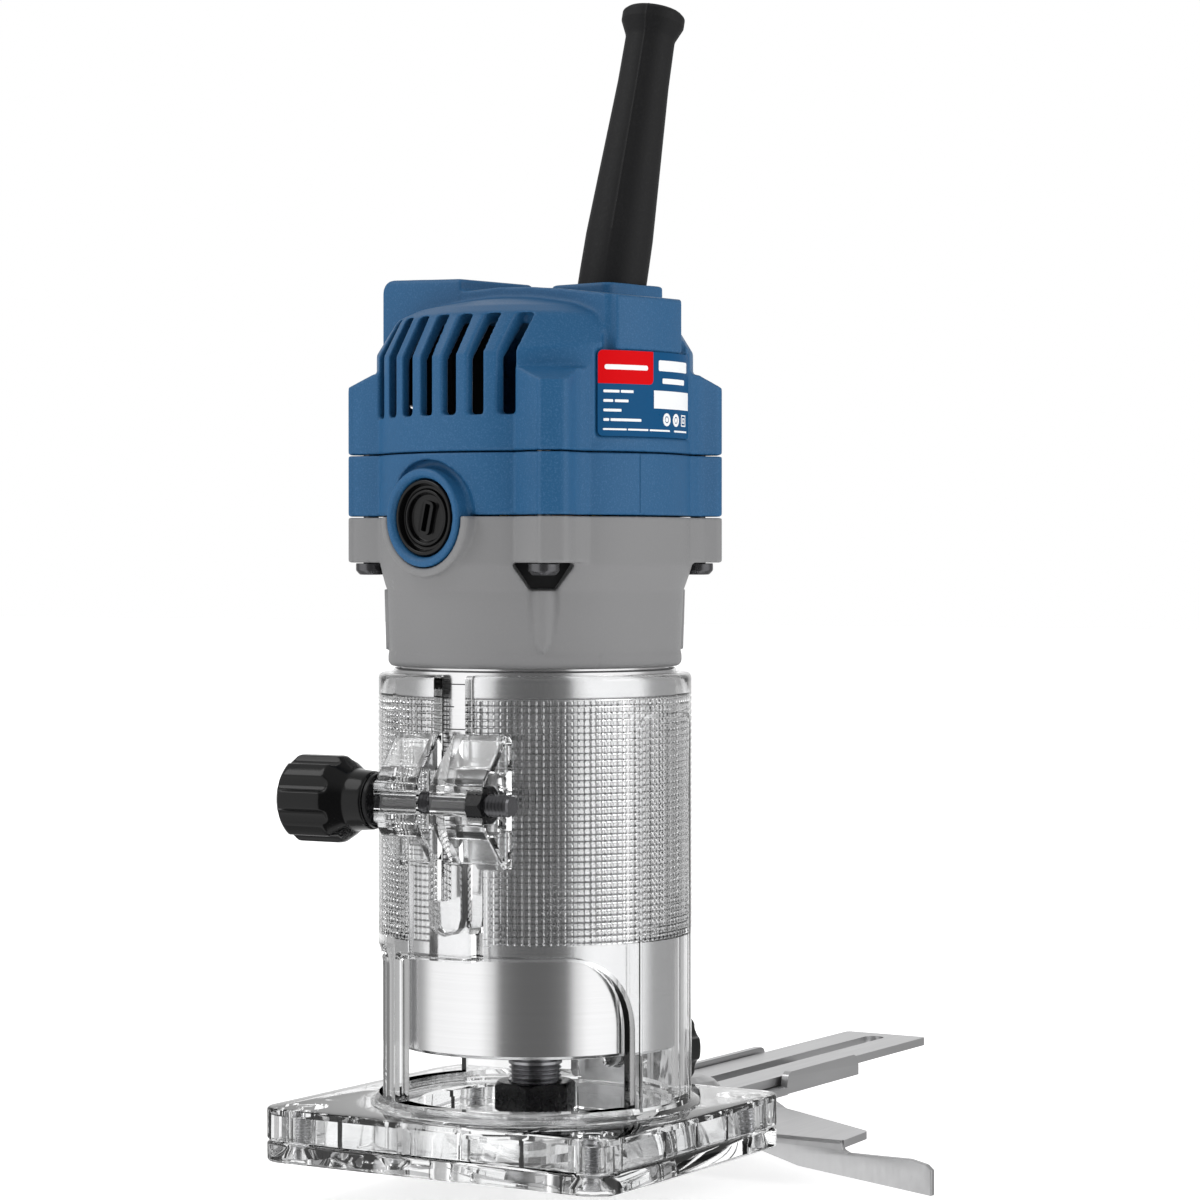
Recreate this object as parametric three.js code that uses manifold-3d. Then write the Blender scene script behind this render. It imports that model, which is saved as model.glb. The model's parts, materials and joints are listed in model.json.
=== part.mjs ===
// Trim router with a clear plastic base, a depth-slide clamp and a straight guide.
// Millimetres, +Z up. The spindle runs along Z; +Y is the side that carries the guide.
import * as THREE from 'three';
import { mergeVertices } from 'three/addons/utils/BufferGeometryUtils.js';
import Module from 'manifold-3d';

const wasm = await Module();
wasm.setup();

// ---------------------------------------------------------------- dimensions
const SEG = 48;                 // facets of the large round parts
const SHIFT = [0.0, -64.625, 9.3];// spindle axis at the sole -> centre of the footprint at the lowest point

const BARREL_R = 32.5, BARREL_Z0 = 25.9, BARREL_Z1 = 112.0, BARREL_NECK_R = 30.8, BARREL_NECK_Z1 = 128.0;
const TUBE_R = 36.0, TUBE_BORE_R = 32.6, TUBE_TOP_Z = 111.0;
const FLANGE = { cx: -2.1, cy: -1.2, w: 92.6, d: 81.8, r: 6, z0: 4.9, z1: 12.4, bore: 27 };
const SUB = { z0: 0, z1: 4.7, bore: 17 };
const CORNER_SCREW_INSET = 8.2;
const SLOT_W = 8.3, SLOT_NARROW_W = 3.6, SLOT_Z0 = 57.5;
const WINDOW_Z1 = 48.0;
const CLAMP_Y = -43.0, CLAMP_Z = 83.3, CLAMP_SCREW_R = 2.5, CLAMP_HOLE_R = 2.75;
const KNOB_X0 = -36.0, KNOB_X1 = -23.4, KNOB_R = 9.75, NECK_R = 6.45, NECK_X0 = -19.2, NECK_X1 = -14.6;
const EAR_X0 = -13.0, EAR_X1 = 15.5, EAR_Y = -46.0;

const HEAD_TURN = -10;          // the motor unit is turned this many degrees in the base
const BODY_R = 36.3, BODY_BORE_R = 33.0;
const HOUSING_Z0 = 112.4, HOUSING_R = 33.5, HOUSING_BORE_R = 31.0, SEAM_LOW_Z = 146.4, SEAM_HIGH_Z = 160.5;
const BOSS_REACH = 42.8, BOSS_W = 14.0, BOSS_Z0 = 136.0, BOSS_SCREW_R_POS = 37.6;
const BRUSH_Z = 146.0, COLLAR_R = 11.0, COLLAR_Y = 37.8, BRUSH_CAP_R = 8.5;
const VENT_COUNT = 7, VENT_STEP = 6.35, VENT_W = 3.5, VENT_Z0 = 168.7, VENT_Z1 = 191.3;
const CORD_Y = 27.0, CORD_TILT = 13.2, CORD_BORE_R = 4.0;

const SPINDLE_R = 6.2, NUT_AF = 17.0, NUT_Z0 = 9.8, NUT_Z1 = 16.8, COLLET_BORE_R = 3.2;
const GUIDE_KNOB_Z = 18.0, GUIDE_ARM_Z0 = 4.1, GUIDE_ARM_Z1 = 6.2, GUIDE_ARM_Y1 = 182.0, GUIDE_BOLT_Y = 70.0;

// ---------------------------------------------------------------- helpers
const v2 = (x, y) => new THREE.Vector2(x, y);
const M = () => new THREE.Matrix4();
const rotX = (d) => M().makeRotationX(THREE.MathUtils.degToRad(d));
const rotY = (d) => M().makeRotationY(THREE.MathUtils.degToRad(d));
const rotZ = (d) => M().makeRotationZ(THREE.MathUtils.degToRad(d));
const move = (x, y, z) => M().makeTranslation(x, y, z);
const chain = (...ms) => ms.reduce((a, b) => a.multiply(b), M());

// a closed three.js geometry, placed by a matrix, as a solid that can be joined and cut
function solid(geometry, matrix) {
  let g = geometry.clone();
  for (const name of Object.keys(g.attributes)) if (name !== 'position') g.deleteAttribute(name);
  if (matrix) g.applyMatrix4(matrix);
  g = mergeVertices(g, 1e-4);
  const p = g.attributes.position.array, ix = g.index.array, tri = [];
  let volume = 0;
  for (let i = 0; i < ix.length; i += 3) {
    const [a, b, c] = [ix[i], ix[i + 1], ix[i + 2]];
    if (a === b || b === c || a === c) continue;
    tri.push(a, b, c);
    const A = [p[3 * a], p[3 * a + 1], p[3 * a + 2]], B = [p[3 * b], p[3 * b + 1], p[3 * b + 2]], C = [p[3 * c], p[3 * c + 1], p[3 * c + 2]];
    volume += A[0] * (B[1] * C[2] - B[2] * C[1]) - A[1] * (B[0] * C[2] - B[2] * C[0]) + A[2] * (B[0] * C[1] - B[1] * C[0]);
  }
  if (volume < 0) for (let i = 0; i < tri.length; i += 3) [tri[i], tri[i + 1]] = [tri[i + 1], tri[i]];
  const mesh = new wasm.Mesh({ numProp: 3, vertProperties: new Float32Array(p), triVerts: new Uint32Array(tri) });
  mesh.merge();
  return new wasm.Manifold(mesh);
}
const join = (...parts) => parts.reduce((a, b) => a.add(b));
const cut = (a, ...parts) => parts.reduce((x, b) => x.subtract(b), a);

const box = (x0, x1, y0, y1, z0, z1, m) => solid(new THREE.BoxGeometry(x1 - x0, y1 - y0, z1 - z0), chain(m ?? M(), move((x0 + x1) / 2, (y0 + y1) / 2, (z0 + z1) / 2)));
// profile of [radius, z] turned about Z
const lathe = (profile, seg = SEG, m) => solid(new THREE.LatheGeometry(profile.map(([r, z]) => v2(r, z)), seg), chain(m ?? M(), rotX(90)));
const disc = (r, z0, z1, seg = 32, m) => lathe([[0, z0], [r, z0], [r, z1], [0, z1]], seg, m);
const ring = (r0, r1, z0, z1, seg = 32, m) => lathe([[r0, z0], [r1, z0], [r1, z1], [r0, z1], [r0, z0]], seg, m);
// outline of [x, y] extruded along Z
const slab = (points, z0, z1, m, holes = []) => {
  const shape = points instanceof THREE.Shape ? points : new THREE.Shape(points.map(([x, y]) => v2(x, y)));
  shape.holes.push(...holes);
  return solid(new THREE.ExtrudeGeometry(shape, { depth: z1 - z0, bevelEnabled: false, curveSegments: 4 }), chain(m ?? M(), move(0, 0, z0)));
};
// outline of [x, z] extruded along Y from y0 to y1
const slabY = (points, y0, y1, m) => slab(points, -y1, -y0, chain(m ?? M(), rotX(90)));
// outline of [y, z] extruded along X from x0 to x1
const slabX = (points, x0, x1, m) => slab(points, x0, x1, chain(m ?? M(), rotZ(90), rotX(90)));
const alongX = (x, y, z) => chain(move(x, y, z), rotY(90));     // local +Z becomes +X
const alongY = (x, y, z) => chain(move(x, y, z), rotX(-90));    // local +Z becomes +Y
function roundedRect(cx, cy, w, d, r) {
  const s = new THREE.Shape(), x0 = cx - w / 2, x1 = cx + w / 2, y0 = cy - d / 2, y1 = cy + d / 2;
  s.moveTo(x0 + r, y0); s.lineTo(x1 - r, y0); s.absarc(x1 - r, y0 + r, r, -Math.PI / 2, 0);
  s.lineTo(x1, y1 - r); s.absarc(x1 - r, y1 - r, r, 0, Math.PI / 2);
  s.lineTo(x0 + r, y1); s.absarc(x0 + r, y1 - r, r, Math.PI / 2, Math.PI);
  s.lineTo(x0, y0 + r); s.absarc(x0 + r, y0 + r, r, Math.PI, 1.5 * Math.PI);
  return s;
}
// wedge seen from above, between two bearings measured from -Y towards +X
function sector(a0, a1, r0, r1, z0, z1, steps = 8) {
  const pts = [], at = (a, r) => [r * Math.sin(a * Math.PI / 180), -r * Math.cos(a * Math.PI / 180)];
  for (let i = 0; i <= steps; i++) pts.push(at(a0 + (a1 - a0) * i / steps, r1));
  for (let i = steps; i >= 0; i--) pts.push(at(a0 + (a1 - a0) * i / steps, r0));
  return slab(pts, z0, z1);
}
const polygon = (n, r, phase = 0) => Array.from({ length: n }, (_, i) => [r * Math.cos(2 * Math.PI * i / n + phase), r * Math.sin(2 * Math.PI * i / n + phase)]);

// ---------------------------------------------------------------- materials
const paint = (color, roughness, metalness = 0, opacity = 1) => new THREE.MeshStandardMaterial({ color, roughness, metalness, transparent: opacity < 1, opacity });
const CLEAR = () => paint(0xe8eef0, 0.08, 0, 0.35);
const BLUE = () => paint(0x34668f, 0.5);
const GREY = () => paint(0x8f9091, 0.5);
const BLACK = () => paint(0x0c0c0d, 0.3);
const RUBBER = () => paint(0x17181a, 0.7);
const STEEL = () => paint(0xc4c6c8, 0.3, 0.9);
const DARK_STEEL = () => paint(0x2a2a2c, 0.4, 0.8);
const BRUSHED = () => paint(0xb9bcc0, 0.32, 0.95);
const COPPER = () => paint(0xb06a3c, 0.4, 0.9);
const BRASS = () => paint(0xb59a52, 0.35, 0.9);
const CARBON = () => paint(0x202022, 0.8);

const group = new THREE.Group();
group.name = 'trim_router';
const base = new THREE.Group(), head = new THREE.Group(), guide = new THREE.Group();
base.name = 'base_group'; head.name = 'motor_group'; guide.name = 'guide_group';
head.rotation.z = THREE.MathUtils.degToRad(HEAD_TURN);
const whole = new THREE.Group();
whole.position.set(...SHIFT);
whole.add(base, head, guide);
group.add(whole);

function add(parent, name, body, material) {
  const mesh = body.getMesh();
  const g = new THREE.BufferGeometry();
  g.setAttribute('position', new THREE.BufferAttribute(Float32Array.from(mesh.vertProperties), 3));
  g.setIndex(new THREE.BufferAttribute(Uint32Array.from(mesh.triVerts), 1));
  g.computeVertexNormals();
  const m = new THREE.Mesh(g, material);
  m.name = name;
  parent.add(m);
  return m;
}

// ---------------------------------------------------------------- clear base: tube, flange, ears, guide boss
{
  const outer = lathe([[0, 4.9], [30, 4.9], [TUBE_R, 8], [TUBE_R, TUBE_TOP_Z - 0.8], [TUBE_R - 0.8, TUBE_TOP_Z], [0, TUBE_TOP_Z]]);
  const flange = slab(roundedRect(FLANGE.cx, FLANGE.cy, FLANGE.w, FLANGE.d, FLANGE.r), FLANGE.z0, FLANGE.z1);
  const foot = lathe([[0, 11], [37.6, 11], [37.6, 12.4], [TUBE_R - 0.2, 14.6], [0, 14.6]]);
  const earOutline = [[-34, 68.6], [-37.2, 68.6], [EAR_Y + 0.8, 77.6], [EAR_Y, 80.5], [EAR_Y, 86.2], [EAR_Y + 0.8, 89.0], [-37.2, 98.2], [-34, 98.2]];
  const ears = join(slabX(earOutline, EAR_X0, -1.8), slabX(earOutline, 1.8, EAR_X1));
  const rail = box(-8.4, 8.4, -40.4, -34, WINDOW_Z1 + 0.2, 70);
  const guideBoss = box(-11, 11, 33, 39.7, 11, 28);
  let body = join(outer, flange, foot, ears, rail, guideBoss);
  body = cut(body,
    disc(TUBE_BORE_R, 12.4, 130, SEG), disc(FLANGE.bore, 0, 13, 32),
    box(-SLOT_W / 2, SLOT_W / 2, -41, -30, 98.2, 130),
    box(-SLOT_NARROW_W / 2, SLOT_NARROW_W / 2, -52, -30, SLOT_Z0 + 4, 99),
    box(-SLOT_W / 2, SLOT_W / 2, -36.2, -30, SLOT_Z0, 99),
    disc(SLOT_W / 2, 30, 36.2, 16, chain(move(0, 0, SLOT_Z0), rotX(90))),
    sector(-28, 69, 31, 40, 12.4, WINDOW_Z1, 4),
    sector(-118, -43, 31, 40, 14.6, WINDOW_Z1, 4));
  // ears: pockets above and below the screw, clamp hole, hex seat for the nut
  for (const [x0, x1] of [[-14, -5], [5, 17]]) body = cut(body,
    slabX([[-37.6, 91.0], [-41.6, 91.0], [-37.6, 95.6]], x0, x1),
    slabX([[-37.6, 75.6], [-37.6, 71.0], [-41.6, 75.6]], x0, x1));
  body = cut(body,
    disc(CLAMP_HOLE_R, -20, 20, 20, alongX(0, CLAMP_Y, CLAMP_Z)),
    slab(polygon(6, 8.3 / Math.sqrt(3), Math.PI / 6), 11.2, 17, alongX(0, CLAMP_Y, CLAMP_Z)),
    disc(2.2, 33.4, 50, 16, alongY(0, 0, GUIDE_KNOB_Z)));
  const px = FLANGE.w / 2 - CORNER_SCREW_INSET, py = FLANGE.d / 2 - CORNER_SCREW_INSET;
  for (const [sx, sy] of [[1, 1], [1, -1], [-1, 1], [-1, -1]])
    body = cut(body, disc(2.2, 4, 11.6, 10, move(FLANGE.cx + sx * px, FLANGE.cy + sy * py, 0)));
  add(base, 'base_tube', body, CLEAR());

  let sub = slab(roundedRect(FLANGE.cx, FLANGE.cy, FLANGE.w, FLANGE.d, FLANGE.r), SUB.z0, SUB.z1);
  sub = cut(sub, disc(SUB.bore, -1, 6, 32));
  let n = 0;
  for (const [sx, sy] of [[-1, -1], [1, -1], [1, 1], [-1, 1]]) {
    const at = move(FLANGE.cx + sx * px, FLANGE.cy + sy * py, 0);
    sub = cut(sub, lathe([[0, -1], [4.1, -1], [4.1, 1.0], [2.3, 2.8], [2.3, 6], [0, 6]], 12, at));
    n += 1;
    add(base, `sub_base_screw_${n}`, cut(
      lathe([[0, 0.7], [3.7, 0.7], [3.7, 1.0], [2.0, 2.7], [2.0, 11], [0, 11]], 12, at),
      box(-2, 2, -0.45, 0.45, 0, 1.6, at)), DARK_STEEL());
  }
  add(base, 'sub_base', sub, CLEAR());
}

// ---------------------------------------------------------------- depth clamp: knob, screw, washer, nut
{
  const flute = (i) => disc(1.9, KNOB_X0 - 1, KNOB_X1 + 0.6, 8, chain(alongX(0, CLAMP_Y, CLAMP_Z), rotZ(45 * i + 22.5), move(KNOB_R + 0.65, 0, 0)));
  let knob = lathe([[0, KNOB_X0], [KNOB_R - 1.6, KNOB_X0], [KNOB_R, KNOB_X0 + 1.4], [KNOB_R, KNOB_X1], [NECK_R, NECK_X0], [NECK_R, NECK_X1], [0, NECK_X1]], 24, alongX(0, CLAMP_Y, CLAMP_Z));
  for (let i = 0; i < 8; i++) knob = cut(knob, flute(i));
  knob = cut(knob, disc(CLAMP_SCREW_R + 0.05, KNOB_X1 - 6, 0, 16, alongX(0, CLAMP_Y, CLAMP_Z)));
  add(base, 'clamp_knob', knob, BLACK());
  add(base, 'clamp_screw', lathe([[0, KNOB_X1 - 5.6], [CLAMP_SCREW_R, KNOB_X1 - 5.6], [CLAMP_SCREW_R, 20.2], [CLAMP_SCREW_R - 0.9, 21.2], [0, 21.2]], 16, alongX(0, CLAMP_Y, CLAMP_Z)), DARK_STEEL());
  add(base, 'clamp_washer', ring(CLAMP_SCREW_R + 0.15, 6.2, -14.4, EAR_X0 - 0.2, 16, alongX(0, CLAMP_Y, CLAMP_Z)), DARK_STEEL());
  add(base, 'clamp_nut', cut(slab(polygon(6, 8.0 / Math.sqrt(3), Math.PI / 6), 11.4, 15.4, alongX(0, CLAMP_Y, CLAMP_Z)), disc(CLAMP_SCREW_R + 0.14, 5, 20, 16, alongX(0, CLAMP_Y, CLAMP_Z))), STEEL());
}

// ---------------------------------------------------------------- motor case
{
  add(head, 'motor_barrel', lathe([
    [8, BARREL_Z0], [31.7, BARREL_Z0], [BARREL_R, BARREL_Z0 + 0.8], [BARREL_R, BARREL_Z1], [BARREL_NECK_R, BARREL_Z1], [BARREL_NECK_R, BARREL_NECK_Z1],
    [29.3, BARREL_NECK_Z1], [29.3, 36], [18, 36], [18, 38], [15.1, 38], [15.1, 28], [8, 28], [8, BARREL_Z0]]), BRUSHED());

  const boss = (a, z0, z1, slope) => {
    const m = rotZ(a), h = BOSS_W / 2;
    const plan = [[26, -h], [BOSS_REACH - 1.4, -h], [BOSS_REACH, -h + 1.6], [BOSS_REACH, h - 1.6], [BOSS_REACH - 1.4, h], [26, h]];
    let b = slab(plan, z0, z1, m);
    if (slope) b = cut(b, slabY([[36, z1 + 0.4], [BOSS_REACH + 1, z1 - slope], [BOSS_REACH + 1, z1 + 9], [30, z1 + 9], [30, z1 + 0.4]], -9, 9, m));
    return b;
  };
  const corners = [45, 135, 225, 315];
  const screwAt = (a) => chain(rotZ(a), move(BOSS_SCREW_R_POS, 0, 0));
  const sides = [0, 180];
  const radial = (a, r0, r1, r, z = BRUSH_Z, seg = 24) => disc(r, r0, r1, seg, chain(rotZ(a), move(0, 0, z), rotX(90)));

  // grey housing below the lower seam
  let low = lathe([[HOUSING_BORE_R, HOUSING_Z0], [32.9, HOUSING_Z0], [33.7, 113.4], [33.7, 115.4], [HOUSING_R, 116], [HOUSING_R + 0.4, 129.6], [BODY_R, 135.2],
    [BODY_R, SEAM_LOW_Z - 0.15], [BODY_BORE_R, SEAM_LOW_Z - 0.15], [BODY_BORE_R, 137], [HOUSING_BORE_R, 131], [HOUSING_BORE_R, HOUSING_Z0]]);
  for (const a of corners) {
    low = join(low, boss(a, BOSS_Z0, SEAM_LOW_Z - 0.15));
    low = join(low, slabY([[32.6, 115.6], [33.5, 115.6], [34.2, 122], [34.7, 129], [32.6, 129]], -1.9, 1.9, rotZ(a)));
  }
  for (const a of sides) low = join(low, cut(radial(a, 31.5, 37.2, COLLAR_R + 2.2), box(-20, 20, -40, 40, SEAM_LOW_Z - 0.15, 180, rotZ(a))));
  low = cut(low, disc(HOUSING_BORE_R, 110, 131, SEG), lathe([[0, 130.9], [HOUSING_BORE_R, 130.9], [BODY_BORE_R, 137], [BODY_BORE_R, 150], [0, 150]]));
  for (const a of sides) low = cut(low, radial(a, 20, 42, COLLAR_R + 0.25));
  for (const a of corners) low = cut(low, disc(2.05, 130, 150, 10, screwAt(a)), lathe([[0, 128.4], [0.6, 128.4], [4.2, 133.4], [4.2, BOSS_Z0], [0, BOSS_Z0]], 12, screwAt(a)));
  add(head, 'lower_housing', low, GREY());

  // blue ring between the seams, with the brush collars and the bearing bridge
  let mid = ring(BODY_BORE_R, BODY_R, SEAM_LOW_Z + 0.15, SEAM_HIGH_Z - 0.15, SEG);
  for (const a of corners) mid = join(mid, boss(a, SEAM_LOW_Z + 0.15, SEAM_HIGH_Z - 0.15));
  mid = cut(mid, disc(BODY_BORE_R, 140, 170, SEG));
  mid = join(mid, box(-34, 34, -7, 7, 155.6, SEAM_HIGH_Z - 0.15), disc(13, 153.4, SEAM_HIGH_Z - 0.15, 24));
  for (const a of sides) mid = join(mid, radial(a, 23.5, COLLAR_Y, COLLAR_R));
  mid = cut(mid, disc(9.6, 154.4, 170, 24), disc(6.5, 150, 170, 16));
  for (const a of sides) mid = cut(mid, radial(a, 30.3, 42, BRUSH_CAP_R + 0.25), box(-4.75, 4.75, -42, -20, BRUSH_Z - 4.75, BRUSH_Z + 4.75, rotZ(a)));
  for (const a of corners) mid = cut(mid, disc(2.05, 130, 170, 10, screwAt(a)));
  add(head, 'middle_ring', mid, BLUE());

  // blue top cap
  const z0 = SEAM_HIGH_Z + 0.15;
  const round = (za, zb) => disc(BODY_R, za, zb, SEG);
  const dome = lathe([[0, z0 - 1], [BODY_R, z0 - 1], [BODY_R, 181.6], [30.5, 191.4], [26.0, 193.5], [17.5, 195.3], [12, 196.1], [0, 196.8]]).scale([1.06, 1.004, 1]);
  let cap = dome.intersect(round(z0, 210));
  const sideBlock = (x0, x1, w, zt) => {
    const plan = []; const n = 6, a1 = Math.asin(w / BODY_R);
    for (let i = 0; i <= n; i++) { const a = -a1 + 2 * a1 * i / n; plan.push([BODY_R * Math.cos(a), BODY_R * Math.sin(a)]); }
    plan.push([x0, w], [x0, -w]);
    return slab(plan, 170, zt);
  };
  const bar = slabY([[-40, 172], [40, 172], [40, 194.7], [34, 195.4], [18, 197.4], [0, 198.5], [-18, 198.1], [-34, 197.0], [-40, 196.6]], -12.4, 12.4).intersect(round(172, 210));
  const switchBlock = solidMirror(sideBlock(11.7, BODY_R, 12.6, 202.0));
  const cordBlock = slab(roundedRect(0, 25.4, 19, 21.4, 3), 176, 201.0);
  cap = join(cap, bar, switchBlock, cordBlock);
  for (const a of corners) cap = join(cap, boss(a, z0, 178.9, 3.4));
  cap = cut(cap, lathe([[0, 150], [BODY_BORE_R, 150], [BODY_BORE_R, 180.2], [27.4, 188.6], [23.6, 190.4], [12, 193.0], [0, 193.6]]));
  for (const a of corners) cap = join(cap, cut(boss(a, z0, 176), disc(31, 149, 191, 24)));
  cap = cut(cap, box(-33.2, -18.5, -9.4, 9.4, 164, 199.2), box(-42, -30, -6.8, 6.8, 171.6, 192.4));
  const gland = chain(move(0, CORD_Y, 201), rotX(-CORD_TILT));
  cap = cut(cap, disc(CORD_BORE_R + 3.2, -22, 8, 20, gland), disc(8.8, -24, -10.2, 20, gland));
  for (const a of sides) for (let i = 0; i < VENT_COUNT; i++) {
    const x = (i - (VENT_COUNT - 1) / 2) * VENT_STEP, top = a === 180 && Math.abs(i - 3) < 2 ? 175.2 : VENT_Z1;
    cap = cut(cap, box(x - VENT_W / 2, x + VENT_W / 2, -44, -22.5, VENT_Z0, top, rotZ(a)));
  }
  // plate recess on the right face
  cap = cut(cap, slab((() => { const p = []; for (let i = 0; i <= 8; i++) { const a = (-26.5 + 53 * i / 8) * Math.PI / 180; p.push([(BODY_R + 2) * Math.cos(a), (BODY_R + 2) * Math.sin(a)]); }
    for (let i = 8; i >= 0; i--) { const a = (-26.5 + 53 * i / 8) * Math.PI / 180; p.push([(BODY_R - 0.7) * Math.cos(a), (BODY_R - 0.7) * Math.sin(a)]); } return p; })(), 163.6, 183.4));
  for (const a of corners) cap = cut(cap, disc(2.05, 150, 172.5, 10, screwAt(a)));
  add(head, 'top_cap', cap, BLUE());

  const plate = []; for (let i = 0; i <= 8; i++) { const a = (-25.6 + 51.2 * i / 8) * Math.PI / 180; plate.push([(BODY_R - 0.05) * Math.cos(a), (BODY_R - 0.05) * Math.sin(a)]); }
  for (let i = 8; i >= 0; i--) { const a = (-25.6 + 51.2 * i / 8) * Math.PI / 180; plate.push([(BODY_R - 0.5) * Math.cos(a), (BODY_R - 0.5) * Math.sin(a)]); }
  add(head, 'nameplate', slab(plate, 164.0, 183.0), BLUE());

  corners.forEach((a, i) => add(head, `housing_screw_${i + 1}`, cut(
    lathe([[0, 133.4], [1.9, 133.4], [3.4, 134.4], [3.5, 135.85], [1.75, 135.85], [1.75, 172], [0, 172]], 12, screwAt(a)),
    box(-2.2, 2.2, -0.4, 0.4, 133, 134.6, screwAt(a))), DARK_STEEL()));

  // brush gear: cap, brass holder, spring and carbon brush on each side
  sides.forEach((a, i) => {
    const k = i + 1, m = rotZ(a);
    add(head, `brush_cap_${k}`, cut(radial(a, 30.6, COLLAR_Y - 0.6, BRUSH_CAP_R), box(-5.2, 5.2, -40, -COLLAR_Y + 2, BRUSH_Z - 0.8, BRUSH_Z + 0.8, chain(move(0, 0, BRUSH_Z), m, rotY(28), move(0, 0, -BRUSH_Z)))), BLACK());
    add(head, `brush_holder_${k}`, cut(box(-4.5, 4.5, -30, -14.4, BRUSH_Z - 4.5, BRUSH_Z + 4.5, m), box(-3.4, 3.4, -31, -13, BRUSH_Z - 3.4, BRUSH_Z + 3.4, m)), BRASS());
    add(head, `carbon_brush_${k}`, box(-3.15, 3.15, -22.5, -12.7, BRUSH_Z - 3.15, BRUSH_Z + 3.15, m), CARBON());
    class Coil extends THREE.Curve { getPoint(t, o = new THREE.Vector3()) { const w = t * 2 * Math.PI * 3; return o.set(2.4 * Math.cos(w), -22.9 - 7.3 * t, BRUSH_Z + 2.4 * Math.sin(w)); } }
    const wire = new THREE.Shape(polygon(4, 0.42).map(([x, y]) => v2(x, y)));
    add(head, `brush_spring_${k}`, solid(new THREE.ExtrudeGeometry(wire, { steps: 27, extrudePath: new Coil(), bevelEnabled: false }), m), STEEL());
  });

  // motor
  add(head, 'field_core', ring(19.7, 28.9, 58, 108, 32), DARK_STEEL());
  add(head, 'lower_bearing', ring(SPINDLE_R + 0.1, 14.9, 28.3, 37, 24), STEEL());
  add(head, 'upper_bearing', ring(4.1, 9.3, 154.7, 160.2, 20), STEEL());

  // switch and rocker on the left face
  add(head, 'switch_body', box(-30.6, -19.2, -7.4, 7.4, 170.5, 193.5), CARBON());
  const rockerOutline = [[-31.2, 0], [-32.6, 6.5], [-33.6, 8.4], [-38.2, 8.8], [-37.2, 3], [-36.9, 0], [-37.2, -3], [-38.2, -8.8], [-33.6, -8.4], [-32.6, -6.5]];
  add(head, 'rocker', slabY(rockerOutline, -6.3, 6.3, chain(move(-32.4, 0, 182), rotY(-9), move(32.4, 0, 0))), BLACK());

  // cord guard: plug in the cap, tapered boot, flared rim
  const guard = chain(move(0, CORD_Y, 201), rotX(-CORD_TILT));
  add(head, 'cord_guard', lathe([[CORD_BORE_R, -13], [8.2, -13], [8.2, -10.6], [6.9, -10.6], [6.9, 1.8], [8.1, 3.2], [8.0, 12], [6.1, 50], [5.9, 61.8], [7.5, 65.2], [7.5, 67.2], [6.6, 68], [CORD_BORE_R, 68], [CORD_BORE_R, -13]], 24, guard), RUBBER());
}

// ---------------------------------------------------------------- rotor: shaft, core, commutator, fan, collet
{
  add(head, 'spindle_shaft', lathe([
    [COLLET_BORE_R + 0.9, 19.0], [4.9, 12.6], [5.2, 10.9], [SPINDLE_R - 0.7, 10.9], [SPINDLE_R - 0.15, 11.6], [SPINDLE_R - 0.15, 18.4], [SPINDLE_R, 18.5], [SPINDLE_R, 37.6], [7.4, 37.6], [7.4, 39.4], [5, 39.4], [5, 153.6], [4, 153.6], [4, 161], [0, 161],
    [0, 40], [COLLET_BORE_R + 0.9, 38], [COLLET_BORE_R + 0.9, 19.0]], 24), STEEL());
  let core = ring(5.15, 18.7, 60, 106, 24);
  for (let i = 0; i < 8; i++) core = cut(core, box(14.2, 20, -0.8, 0.8, 50, 120, rotZ(45 * i + 5)));
  add(head, 'armature_core', core, DARK_STEEL());
  add(head, 'commutator', ring(5.15, 12.4, 136, 152.4, 24), COPPER());
  let fan = ring(5.15, 9, 41, 54, 24);
  fan = join(fan, ring(8.5, 27.6, 41, 42.6, 24));
  for (let i = 0; i < 8; i++) fan = join(fan, box(8, 26.8, -0.7, 0.7, 42, 52, rotZ(45 * i)));
  add(head, 'fan', fan, CARBON());
  const nut = cut(slab(polygon(6, NUT_AF / Math.sqrt(3), 0), NUT_Z0, NUT_Z1),
    lathe([[0, 9], [5.0, 9], [5.0, 10.4], [SPINDLE_R, 10.6], [SPINDLE_R, 19], [0, 19]], 24));
  const keep = lathe([[0, NUT_Z0], [NUT_AF / 2 + 0.1, NUT_Z0], [NUT_AF / Math.sqrt(3) + 0.2, NUT_Z0 + 1.1], [NUT_AF / Math.sqrt(3) + 0.2, NUT_Z1 - 1.1], [NUT_AF / 2 + 0.1, NUT_Z1], [0, NUT_Z1]], 24);
  add(head, 'collet_nut', nut.intersect(keep), BLACK());
  let collet = lathe([[COLLET_BORE_R, 8.8], [4.7, 8.8], [4.7, 12.2], [COLLET_BORE_R + 0.75, 18.6], [COLLET_BORE_R + 0.75, 27], [COLLET_BORE_R, 27], [COLLET_BORE_R, 8.8]], 24);
  for (let i = 0; i < 4; i++) collet = cut(collet, box(2, 7, -0.35, 0.35, 8, 23, rotZ(90 * i + 45)));
  add(head, 'collet_cone', collet, STEEL());
}

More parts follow.
